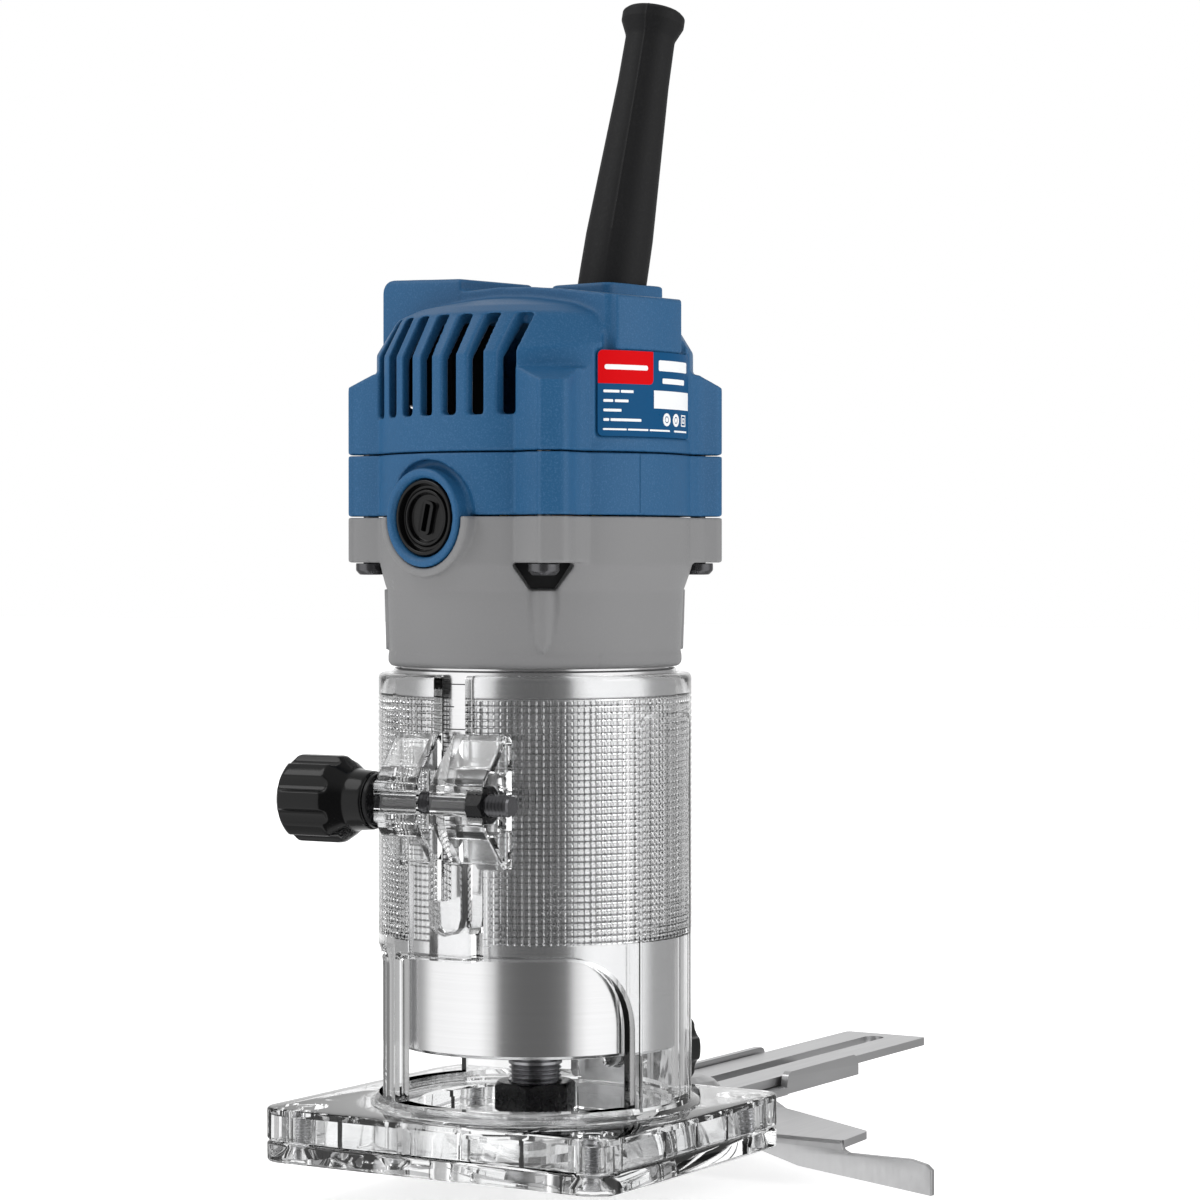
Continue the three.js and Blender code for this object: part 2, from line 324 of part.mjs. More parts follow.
// ---------------------------------------------------------------- straight guide and its holder
{
  const kz = GUIDE_KNOB_Z;
  const arm = (() => {
    const flat = new THREE.Shape([[-12, 40.2], [12, 40.2], [12, GUIDE_ARM_Y1 - 1.5], [10.5, GUIDE_ARM_Y1], [-10.5, GUIDE_ARM_Y1], [-12, GUIDE_ARM_Y1 - 1.5]].map(([x, y]) => v2(x, y)));
    const slot = new THREE.Path(); slot.moveTo(2.75, 62); slot.lineTo(2.75, 174); slot.absarc(0, 174, 2.75, 0, Math.PI); slot.lineTo(-2.75, 62); slot.absarc(0, 62, 2.75, Math.PI, 2 * Math.PI);
    const bar = slab(flat, GUIDE_ARM_Z0, GUIDE_ARM_Z1, M(), [slot]);
    const leg = slabX([[40.2, GUIDE_ARM_Z0], [43.6, GUIDE_ARM_Z0], [43.6, GUIDE_ARM_Z1], [42.6, GUIDE_ARM_Z1 + 0.4], [42.2, GUIDE_ARM_Z1 + 1.4], [42.2, 27.5], [40.2, 27.5]], -12, 12);
    return cut(join(bar, leg), disc(3.0, 30, 50, 20, alongY(0, 0, kz)));
  })();
  add(guide, 'guide_arm', arm, STEEL());

  add(guide, 'guide_screw', lathe([[0, 34.0], [1.4, 34.0], [2.1, 34.8], [2.1, 39.85], [2.5, 40.3], [2.5, 50], [0, 50]], 16, alongY(0, 0, kz)), DARK_STEEL());
  add(guide, 'guide_washer', ring(2.7, 6.2, 42.6, 43.8, 16, alongY(0, 0, kz)), STEEL());
  let gk = lathe([[0, 44.2], [7.0, 44.2], [7.2, 47], [11.2, 47.4], [11.4, 48.2], [11.4, 58.2], [10.4, 59.2], [0, 59.2]], 24, alongY(0, 0, kz));
  for (let i = 0; i < 8; i++) gk = cut(gk, disc(1.8, 48.4, 61, 8, chain(alongY(0, 0, kz), rotZ(45 * i + 22.5), move(12.0, 0, 0))));
  gk = cut(gk, disc(2.55, 40, 50.3, 16, alongY(0, 0, kz)));
  add(guide, 'guide_knob', gk, BLACK());

  // guide body: channel under the arm, step down to the plate, fence with two wings
  const T = 1.8, CH_Z1 = 3.8, CH_Z0 = CH_Z1 - T, PL_Z1 = 1.5, PL_Z0 = PL_Z1 - T;
  const sidePath = [[44.4, PL_Z0], [80, PL_Z0], [85.5, CH_Z0], [136, CH_Z0], [136, CH_Z1], [84.9, CH_Z1], [79.4, PL_Z1], [44.4, PL_Z1]];
  const strip = slabX(sidePath, -70, 70);
  const planOutline = [[-57, 43], [57, 43], [57, 45.8], [56, 59], [15.2, 84.5], [15.2, 95.5], [14.6, 96.3], [14.6, 136], [-14.6, 136], [-14.6, 96.3], [-15.2, 95.5], [-15.2, 84.5], [-56, 59], [-57, 45.8]];
  let body = strip.intersect(slab(planOutline, -5, 8));
  for (const s of [-1, 1]) {
    const x0 = s > 0 ? 12.8 : -14.6, x1 = s > 0 ? 14.6 : -12.8;
    body = join(body, slabX([[96.3, CH_Z0], [136, CH_Z0], [136, CH_Z1 + 1], [134.6, 7.0], [133.2, 7.5], [98.4, 7.5], [96.9, 6.8], [96.3, 4.6]], x0, x1));
  }
  const wing = (s) => [[s * 8, PL_Z1], [s * 56.6, PL_Z1], [s * 57.2, -0.6], [s * 58.6, -1.3], [s * 74.5, -1.3], [s * 78.6, -2.2], [s * 80, -3.4], [s * 80, -9.3], [s * 45.5, -5.4], [s * 36.5, -2.9], [s * 30, -1.2], [s * 24, -0.5], [s * 8, -0.5]];
  body = join(body, slabY(wing(1), 43.2, 45.0), slabY(wing(-1), 43.2, 45.0), slabY([[-10, PL_Z1], [10, PL_Z1], [10, -0.5], [-10, -0.5]], 43.2, 45.0));
  body = cut(body, slabX([[43, PL_Z1 + 0.1], [43, PL_Z1 - 1.0], [43.9, PL_Z1 + 0.1]], -70, 70), disc(2.75, -5, 10, 20, move(0, GUIDE_BOLT_Y, 0)));
  add(guide, 'guide_fence', body, STEEL());

  // bolt: domed head above the arm, shank through slot and plate; spacer washer and thumb nut below
  add(guide, 'guide_bolt', lathe([[0, -7.4], [1.7, -7.4], [2.3, -6.8], [2.3, GUIDE_ARM_Z1 + 0.05], [8.5, GUIDE_ARM_Z1 + 0.05], [8.5, GUIDE_ARM_Z1 + 0.5], [7.2, GUIDE_ARM_Z1 + 1.8], [4.4, GUIDE_ARM_Z1 + 2.8], [0, GUIDE_ARM_Z1 + 3.2]], 24, move(0, GUIDE_BOLT_Y, 0)), STEEL());
  add(guide, 'guide_spacer', ring(2.9, 5.4, PL_Z1 + 0.05, GUIDE_ARM_Z0 - 0.05, 16, move(0, GUIDE_BOLT_Y, 0)), STEEL());
  add(guide, 'guide_nut_washer', ring(2.6, 5.6, PL_Z0 - 1.1, PL_Z0 - 0.1, 16, move(0, GUIDE_BOLT_Y, 0)), STEEL());
  let wn = ring(2.45, 4.6, PL_Z0 - 6.6, PL_Z0 - 1.2, 16, move(0, GUIDE_BOLT_Y, 0));
  for (const s of [-1, 1]) wn = join(wn, slabY([[s * 3.6, PL_Z0 - 1.6], [s * 3.6, PL_Z0 - 5.4], [s * 8.6, PL_Z0 - 8.2], [s * 12.4, PL_Z0 - 8.4], [s * 13.2, PL_Z0 - 6.4], [s * 10.4, PL_Z0 - 2.4], [s * 7, PL_Z0 - 1.6]], -1.1, 1.1, move(0, GUIDE_BOLT_Y, 0)));
  wn = cut(wn, disc(2.45, -20, 5, 16, move(0, GUIDE_BOLT_Y, 0)));
  add(guide, 'wing_nut', wn, STEEL());
}

// mirror of a solid in the plane x = 0
function solidMirror(body) { return body.mirror([1, 0, 0]); }

export default group;
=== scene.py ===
# Trim router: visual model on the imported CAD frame. Shapes are made in millimetres about the
# spindle axis at the sole, then placed in the row frame in metres.
import bpy, bmesh, math, json
from mathutils import Matrix, Vector

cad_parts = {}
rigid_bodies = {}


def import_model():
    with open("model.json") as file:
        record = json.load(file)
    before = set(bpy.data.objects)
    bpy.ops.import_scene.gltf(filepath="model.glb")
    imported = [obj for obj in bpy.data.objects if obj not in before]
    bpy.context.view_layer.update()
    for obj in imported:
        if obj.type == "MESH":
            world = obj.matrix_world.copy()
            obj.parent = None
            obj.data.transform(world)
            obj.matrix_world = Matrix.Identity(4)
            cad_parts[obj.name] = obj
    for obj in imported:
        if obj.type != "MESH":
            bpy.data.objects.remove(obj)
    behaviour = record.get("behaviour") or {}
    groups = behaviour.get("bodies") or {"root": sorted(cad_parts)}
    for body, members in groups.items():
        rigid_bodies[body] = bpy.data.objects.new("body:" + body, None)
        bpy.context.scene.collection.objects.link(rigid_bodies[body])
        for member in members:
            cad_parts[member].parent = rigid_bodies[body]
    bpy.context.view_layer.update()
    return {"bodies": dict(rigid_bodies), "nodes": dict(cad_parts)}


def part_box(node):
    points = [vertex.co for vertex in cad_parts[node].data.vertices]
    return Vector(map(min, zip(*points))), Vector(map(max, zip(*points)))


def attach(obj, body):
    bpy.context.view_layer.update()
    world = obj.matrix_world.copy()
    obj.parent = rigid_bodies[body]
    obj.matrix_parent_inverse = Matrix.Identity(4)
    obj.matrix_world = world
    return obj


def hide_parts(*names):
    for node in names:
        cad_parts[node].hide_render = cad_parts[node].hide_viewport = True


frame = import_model()

MM = 0.001
_b0, _b1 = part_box("motor_barrel")
_s0, _s1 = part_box("sub_base")
AXIS = Vector(((_b0[0] + _b1[0]) / 2, (_b0[1] + _b1[1]) / 2, _s0[2]))      # spindle axis at the sole, metres
BASE = Matrix.Translation(AXIS / MM)
HEAD = BASE @ Matrix.Rotation(math.radians(-10), 4, "Z")
SCENE = bpy.context.scene


# ------------------------------------------------------------------ mesh helpers (millimetres)
def rot(deg, axis):
    return Matrix.Rotation(math.radians(deg), 4, axis)


def mv(x, y, z):
    return Matrix.Translation((x, y, z))


ALONG_X = lambda x, y, z: mv(x, y, z) @ rot(90, "Y")       # local +Z becomes +X
ALONG_Y = lambda x, y, z: mv(x, y, z) @ rot(-90, "X")      # local +Z becomes +Y


def obj(name, verts, faces, m=None):
    me = bpy.data.meshes.new(name)
    me.from_pydata([tuple(v) for v in verts], [], faces)
    if m is not None:
        me.transform(m)
    bm = bmesh.new()
    bm.from_mesh(me)
    bmesh.ops.remove_doubles(bm, verts=bm.verts, dist=1e-5)
    bmesh.ops.recalc_face_normals(bm, faces=bm.faces)
    bm.to_mesh(me)
    bm.free()
    ob = bpy.data.objects.new(name, me)
    SCENE.collection.objects.link(ob)
    return ob


def fillet(points, closed=True, n=5):
    """points of (x, y) or (x, y, radius) with the corners rounded."""
    out, N = [], len(points)
    for i, p in enumerate(points):
        r = p[2] if len(p) > 2 else 0
        if r <= 0 or (not closed and i in (0, N - 1)):
            out.append((p[0], p[1]))
            continue
        a, b, c = Vector(points[i - 1][:2]), Vector(p[:2]), Vector(points[(i + 1) % N][:2])
        u, v = (a - b), (c - b)
        lu, lv = u.length, v.length
        u, v = u / lu, v / lv
        ang = math.acos(max(-1, min(1, u.dot(v))))
        if ang > math.pi - 0.02:
            out.append((p[0], p[1]))
            continue
        t = min(r / math.tan(ang / 2), lu * 0.49, lv * 0.49)
        rr = t * math.tan(ang / 2)
        cen = b + (u + v).normalized() * (rr / math.sin(ang / 2))
        s, e = b + u * t - cen, b + v * t - cen
        a0, a1 = math.atan2(s.y, s.x), math.atan2(e.y, e.x)
        d = (a1 - a0 + math.pi) % (2 * math.pi) - math.pi
        for k in range(n + 1):
            out.append((cen.x + rr * math.cos(a0 + d * k / n), cen.y + rr * math.sin(a0 + d * k / n)))
    return out


def lathe(profile, seg=96, m=None, name="lathe", rfun=None):
    """profile of (radius, z), turned about Z. The same first and last point makes a ring."""
    ringed = len(profile) > 2 and (Vector(profile[0]) - Vector(profile[-1])).length < 1e-6
    pts = profile[:-1] if ringed else profile
    verts, rows = [], []
    for r, z in pts:
        if r < 1e-6:
            rows.append([len(verts)])
            verts.append((0, 0, z))
        else:
            row = []
            for j in range(seg):
                a = 2 * math.pi * j / seg
                rr = r + (rfun(a, z) if rfun else 0)
                row.append(len(verts))
                verts.append((rr * math.cos(a), rr * math.sin(a), z))
            rows.append(row)
    faces = []
    pairs = list(zip(rows, rows[1:])) + ([(rows[-1], rows[0])] if ringed else [])
    for A, B in pairs:
        if len(A) == 1 and len(B) == 1:
            continue
        for j in range(seg):
            k = (j + 1) % seg
            if len(A) == 1:
                faces.append((A[0], B[j], B[k]))
            elif len(B) == 1:
                faces.append((A[j], A[k], B[0]))
            else:
                faces.append((A[j], A[k], B[k], B[j]))
    if not ringed:
        for row in (rows[0], rows[-1]):
            if len(row) > 1:
                faces.append(tuple(row))
    return obj(name, verts, faces, m)


def disc(r, z0, z1, seg=64, m=None, name="disc"):
    return lathe([(0, z0), (r, z0), (r, z1), (0, z1)], seg, m, name)


def tube(r0, r1, z0, z1, seg=64, m=None, name="ring"):
    return lathe([(r0, z0), (r1, z0), (r1, z1), (r0, z1), (r0, z0)], seg, m, name)


def slab(points, z0, z1, m=None, name="slab"):
    pts = fillet(points)
    n = len(pts)
    verts = [(x, y, z0) for x, y in pts] + [(x, y, z1) for x, y in pts]
    faces = [tuple(range(n))[::-1], tuple(range(n, 2 * n))] + [(i, (i + 1) % n, n + (i + 1) % n, n + i) for i in range(n)]
    return obj(name, verts, faces, m)


def slab_y(points, y0, y1, m=None):
    return slab(points, -y1, -y0, (m or Matrix()) @ rot(90, "X"))


def slab_x(points, x0, x1, m=None):
    return slab(points, x0, x1, (m or Matrix()) @ rot(90, "Z") @ rot(90, "X"))


def box(x0, x1, y0, y1, z0, z1, m=None):
    return slab([(x0, y0), (x1, y0), (x1, y1), (x0, y1)], z0, z1, m, "block")


def rrect(cx, cy, w, d, r):
    return [(cx - w / 2, cy - d / 2, r), (cx + w / 2, cy - d / 2, r), (cx + w / 2, cy + d / 2, r), (cx - w / 2, cy + d / 2, r)]


def polygon(n, r, phase=0.0, fil=0):
    return [(r * math.cos(2 * math.pi * i / n + phase), r * math.sin(2 * math.pi * i / n + phase), fil) for i in range(n)]


def bake(ob):
    dg = bpy.context.evaluated_depsgraph_get()
    me = bpy.data.meshes.new_from_object(ob.evaluated_get(dg))
    old = ob.data
    ob.modifiers.clear()
    ob.data = me
    bpy.data.meshes.remove(old)
    return ob


def drop(ob):
    me = ob.data
    bpy.data.objects.remove(ob)
    bpy.data.meshes.remove(me)


def boolean(a, others, op):
    for b in others:
        mod = a.modifiers.new("join", "BOOLEAN")
        mod.operation, mod.object, mod.solver = op, b, "MANIFOLD"
        before = len(a.data.vertices)
        bake(a)
        if len(a.data.vertices) == 0:
            print("EMPTY boolean", a.name, b.name, op, before, len(b.data.vertices))
        drop(b)
    return a


def join(a, *others):
    return boolean(a, others, "UNION")


def cut(a, *others):
    return boolean(a, others, "DIFFERENCE")


def common(a, b):
    return boolean(a, [b], "INTERSECT")


def merge(parts, name="merged"):
    """disjoint solids put into one mesh"""
    bm = bmesh.new()
    for p in parts:
        bm.from_mesh(p.data)
        drop(p)
    me = bpy.data.meshes.new(name)
    bm.to_mesh(me)
    bm.free()
    ob = bpy.data.objects.new(name, me)
    SCENE.collection.objects.link(ob)
    return ob


def bevel(ob, width=0.4, segments=2, angle=30):
    mod = ob.modifiers.new("edge", "BEVEL")
    mod.width, mod.segments, mod.limit_method, mod.angle_limit = width, segments, "ANGLE", math.radians(angle)
    mod.use_clamp_overlap = True
    return bake(ob)


def melt(ob, voxel=0.45, rounds=6, factor=0.5):
    """moulded look: an even skin over the whole solid, relaxed so that every edge has a small radius"""
    r = ob.modifiers.new("skin", "REMESH")
    r.mode, r.voxel_size, r.use_smooth_shade = "VOXEL", voxel, True
    s = ob.modifiers.new("relax", "SMOOTH")
    s.factor, s.iterations = factor, rounds
    return bake(ob)


def place(ob, name, body, m, mats, nodes=(), sharp=35, smooth=True):
    ob.data.transform(Matrix.Scale(MM, 4) @ m)
    ob.name = name
    ob.data.name = name
    ob.data.materials.clear()
    for mt in (mats if isinstance(mats, (list, tuple)) else [mats]):
        ob.data.materials.append(mt)
    for p in ob.data.polygons:
        p.use_smooth = smooth
    if smooth and sharp:
        ob.data.set_sharp_from_angle(angle=math.radians(sharp))
    if nodes:
        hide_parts(*nodes)
    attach(ob, body)
    return ob


# ------------------------------------------------------------------ materials
def _node(nt, kind, **kw):
    n = nt.nodes.new(kind)
    for k, v in kw.items():
        setattr(n, k, v)
    return n


def surface(name, color, rough=0.5, metal=0.0, grain=2.2, depth=0.03, stretch=(1, 1, 1), vary=0.07, blotch=0.035,
            speck=0.0, edge=0.0, rough_vary=0.08, coat=0.0, coat_rough=0.1, spec=0.5, detail=3.0, scratch=0.0,
            transmission=0.0, ior=1.45, streak=None):
    """Procedural material. grain is cycles per millimetre, depth the height of the texture in millimetres."""
    m = bpy.data.materials.new(name)
    m.use_nodes = True
    nt = m.node_tree
    L = nt.links.new
    bsdf = nt.nodes["Principled BSDF"]
    co = _node(nt, "ShaderNodeTexCoord")
    mp = _node(nt, "ShaderNodeMapping")
    mp.inputs["Scale"].default_value = tuple(1000 * s for s in stretch)
    L(co.outputs["Object"], mp.inputs["Vector"])
    mq = _node(nt, "ShaderNodeMapping")
    mq.inputs["Scale"].default_value = (1000, 1000, 1000)
    L(co.outputs["Object"], mq.inputs["Vector"])
    fine = _node(nt, "ShaderNodeTexNoise")
    fine.inputs["Scale"].default_value = grain
    fine.inputs["Detail"].default_value = detail
    fine.inputs["Roughness"].default_value = 0.6
    L(mp.outputs[0], fine.inputs["Vector"])
    big = _node(nt, "ShaderNodeTexNoise")
    big.inputs["Scale"].default_value = blotch
    big.inputs["Detail"].default_value = 4
    L(mq.outputs[0], big.inputs["Vector"])

    def shade(f):
        return tuple(max(0.0, min(1.0, c * f)) for c in color) + (1,)

    mix = _node(nt, "ShaderNodeMix", data_type="RGBA")
    mix.inputs["A"].default_value = shade(1 - vary)
    mix.inputs["B"].default_value = shade(1 + vary)
    L(big.outputs["Fac"], mix.inputs["Factor"])
    last = mix.outputs["Result"]
    if speck:
        ramp = _node(nt, "ShaderNodeValToRGB")
        ramp.color_ramp.elements[0].position, ramp.color_ramp.elements[1].position = 0.5, 0.72
        L(fine.outputs["Fac"], ramp.inputs["Fac"])
        sm = _node(nt, "ShaderNodeMath", operation="MULTIPLY")
        sm.inputs[1].default_value = speck
        L(ramp.outputs["Color"], sm.inputs[0])
        mx = _node(nt, "ShaderNodeMix", data_type="RGBA")
        mx.inputs["B"].default_value = tuple(min(1, c * 1.5 + 0.06) for c in color) + (1,)
        L(last, mx.inputs["A"])
        L(sm.outputs[0], mx.inputs["Factor"])
        last = mx.outputs["Result"]
    if streak:
        sn = _node(nt, "ShaderNodeTexNoise")
        sn.inputs["Scale"].default_value = streak[0]
        sn.inputs["Detail"].default_value = 5
        L(mp.outputs[0], sn.inputs["Vector"])
        mx = _node(nt, "ShaderNodeMix", data_type="RGBA")
        mx.inputs["A"].default_value = shade(1 - streak[1])
        mx.inputs["B"].default_value = shade(1 + streak[1])
        L(sn.outputs["Fac"], mx.inputs["Factor"])
        blend = _node(nt, "ShaderNodeMix", data_type="RGBA")
        blend.inputs["Factor"].default_value = 0.5
        L(last, blend.inputs["A"])
        L(mx.outputs["Result"], blend.inputs["B"])
        last = blend.outputs["Result"]
    if edge:
        geo = _node(nt, "ShaderNodeNewGeometry")
        er = _node(nt, "ShaderNodeMapRange")
        er.inputs["From Min"].default_value, er.inputs["From Max"].default_value = 0.52, 0.62
        er.inputs["To Max"].default_value = edge
        L(geo.outputs["Pointiness"], er.inputs["Value"])
        mx = _node(nt, "ShaderNodeMix", data_type="RGBA")
        mx.inputs["B"].default_value = tuple(min(1, c * 1.8 + 0.05) for c in color) + (1,)
        L(last, mx.inputs["A"])
        L(er.outputs["Result"], mx.inputs["Factor"])
        last = mx.outputs["Result"]
    L(last, bsdf.inputs["Base Color"])
    rr = _node(nt, "ShaderNodeMapRange")
    rr.inputs["From Min"].default_value, rr.inputs["From Max"].default_value = 0.3, 0.7
    rr.inputs["To Min"].default_value = max(0.0, rough - rough_vary)
    rr.inputs["To Max"].default_value = min(1.0, rough + rough_vary)
    L(fine.outputs["Fac"], rr.inputs["Value"])
    L(rr.outputs["Result"], bsdf.inputs["Roughness"])
    if depth:
        bump = _node(nt, "ShaderNodeBump")
        bump.inputs["Strength"].default_value = 1.0
        bump.inputs["Distance"].default_value = depth * MM
        L(fine.outputs["Fac"], bump.inputs["Height"])
        L(bump.outputs["Normal"], bsdf.inputs["Normal"])
        if scratch:
            s2 = _node(nt, "ShaderNodeTexNoise")
            s2.inputs["Scale"].default_value = 0.25
            s2.inputs["Detail"].default_value = 2
            L(mq.outputs[0], s2.inputs["Vector"])
            b2 = _node(nt, "ShaderNodeBump")
            b2.inputs["Strength"].default_value = 1.0
            b2.inputs["Distance"].default_value = scratch * MM
            L(s2.outputs["Fac"], b2.inputs["Height"])
            L(bump.outputs["Normal"], b2.inputs["Normal"])
            L(b2.outputs["Normal"], bsdf.inputs["Normal"])
    bsdf.inputs["Metallic"].default_value = metal
    bsdf.inputs["Specular IOR Level"].default_value = spec
    bsdf.inputs["Coat Weight"].default_value = coat
    bsdf.inputs["Coat Roughness"].default_value = coat_rough
    bsdf.inputs["Transmission Weight"].default_value = transmission
    bsdf.inputs["IOR"].default_value = ior
    return m


BLUE = surface("blue_moulded_plastic", (0.0125, 0.083, 0.192), 0.47, grain=2.6, depth=0.045, vary=0.08, speck=0.34, edge=0.2, spec=0.3)
GREY = surface("grey_moulded_plastic", (0.205, 0.205, 0.208), 0.5, grain=2.2, depth=0.02, vary=0.04, speck=0.05, edge=0.12, spec=0.3)
RUBBER = surface("black_rubber", (0.007, 0.007, 0.0075), 0.6, grain=1.6, depth=0.035, vary=0.2, blotch=0.05, speck=0.06, edge=0.06, spec=0.22)
GLOSS = surface("gloss_black_plastic", (0.002, 0.002, 0.0022), 0.17, grain=0.35, depth=0.01, vary=0.25, rough_vary=0.04, coat=0.1, coat_rough=0.06, edge=0.03, spec=0.2)
BLACKOX = surface("black_oxide_steel", (0.0035, 0.0035, 0.004), 0.28, metal=0.1, grain=1.2, depth=0.002, vary=0.2, edge=0.1, rough_vary=0.06, spec=0.2)
CLEAR = surface("clear_acrylic", (0.985, 0.988, 0.99), 0.02, grain=0.5, depth=0.001, vary=0.01, rough_vary=0.015, transmission=1.0, ior=1.47, blotch=0.02)
BARREL = surface("turned_aluminium", (0.66, 0.66, 0.665), 0.17, metal=1.0, grain=1.0, depth=0.002, stretch=(0.012, 0.012, 3.0), vary=0.03, rough_vary=0.03, streak=(1.2, 0.09), detail=6)
ZINC = surface("zinc_plated_steel", (0.44, 0.44, 0.445), 0.36, metal=1.0, grain=0.7, depth=0.002, stretch=(1.4, 0.06, 0.4), vary=0.05, blotch=0.04, rough_vary=0.05, streak=(0.6, 0.06), edge=0.2, detail=4)
STEEL = surface("machined_steel", (0.5, 0.5, 0.51), 0.28, metal=1.0, grain=1.2, depth=0.004, stretch=(0.3, 0.3, 3.0), vary=0.08, edge=0.15)
SCREW = surface("dark_screw_steel", (0.09, 0.09, 0.095), 0.22, metal=0.8, grain=0.8, depth=0.0, vary=0.1, rough_vary=0.04, edge=0.15)
SPINDLE = surface("ground_spindle_steel", (0.30, 0.30, 0.31), 0.2, metal=1.0, grain=0.8, depth=0.0, vary=0.06, rough_vary=0.04)
DARK = surface("lamination_steel", (0.12, 0.12, 0.125), 0.45, metal=0.8, grain=1.0, depth=0.01, stretch=(0.05, 0.05, 2.0), vary=0.2)
COPPER = surface("commutator_copper", (0.55, 0.27, 0.15), 0.35, metal=1.0, grain=1.0, depth=0.005, stretch=(0.05, 0.05, 3.0), vary=0.12)
BRASS = surface("brass", (0.62, 0.48, 0.2), 0.35, metal=1.0, grain=1.0, depth=0.005, vary=0.1)
CARBON = surface("carbon", (0.008, 0.008, 0.0085), 0.75, grain=3.0, depth=0.02, vary=0.25, spec=0.2)
PRINT = surface("black_print", (0.008, 0.008, 0.008), 0.5, grain=3.0, depth=0.002, vary=0.3)
LABEL_BLUE = surface("label_blue", (0.0015, 0.062, 0.165), 0.35, grain=1.0, depth=0.0, vary=0.05, spec=0.1)
LABEL_RED = surface("label_red", (0.58, 0.0005, 0.003), 0.4, grain=1.0, depth=0.0, vary=0.04, spec=0.05)
LABEL_WHITE = surface("label_white", (0.80, 0.81, 0.82), 0.35, grain=1.0, depth=0.002, vary=0.03, spec=0.3)


# ------------------------------------------------------------------ motor head
R, BORE = 36.3, 33.0
CORNERS, SIDES = (45, 135, 225, 315), (0, 180)
ZS1, ZS2 = 146.4, 160.5


VENT_SIDE = {45: 1, 135: -1, 225: 1, 315: -1}      # which side of each boss faces the vents


def boss(a, z0, z1, slope=0.0):
    """a corner boss: flat front, a wide hollow flank towards the vents, a short one towards the side blocks"""
    wide = [(30, 5.0), (35.0, 6.9), (36.0, 6.2), (37.6, 5.1), (39.4, 3.8), (41.0, 2.5), (41.7, 1.75), (42.3, 1.5), (42.75, 1.0)]
    tight = [(42.8, -3.6), (42.5, -4.5), (41.6, -5.3), (40.0, -6.0), (38.2, -6.9), (36.8, -8.1), (35.4, -9.8), (33.6, -11.0), (30, -11.4)]
    s = VENT_SIDE[a]
    b = slab([(x, y * s) for x, y in wide + tight], z0, z1, rot(a, "Z"), "boss")
    if slope:
        # one facet that falls outwards, and a small one on either side of it
        cut(b, slab_y([(36.4, z1 + 0.3), (43.8, z1 - slope), (43.8, z1 + 9), (28, z1 + 9), (28, z1 + 0.3)], -14, 14, rot(a, "Z")))
    return b


def screw_at(a):
    return rot(a, "Z") @ mv(37.6, 0, 0)


def radial(a, r0, r1, r, z=146.0, seg=72):
    return disc(r, r0, r1, seg, rot(a, "Z") @ mv(0, 0, z) @ rot(90, "X"))


def ring_radial(a, ra, rb, r0, r1, z=146.0, seg=72):
    return tube(ra, rb, r0, r1, seg, rot(a, "Z") @ mv(0, 0, z) @ rot(90, "X"))


def side_block(x0, w, z0, zt, mirror=False):
    a1 = math.asin(w / R)
    plan = [(R * math.cos(-a1 + 2 * a1 * i / 24), R * math.sin(-a1 + 2 * a1 * i / 24)) for i in range(25)] + [(x0, w), (x0, -w)]
    if mirror:
        plan = [(-x, y) for x, y in plan]
    return slab(plan, z0, zt)


def rings(items):
    return [radial(*i) for i in items]


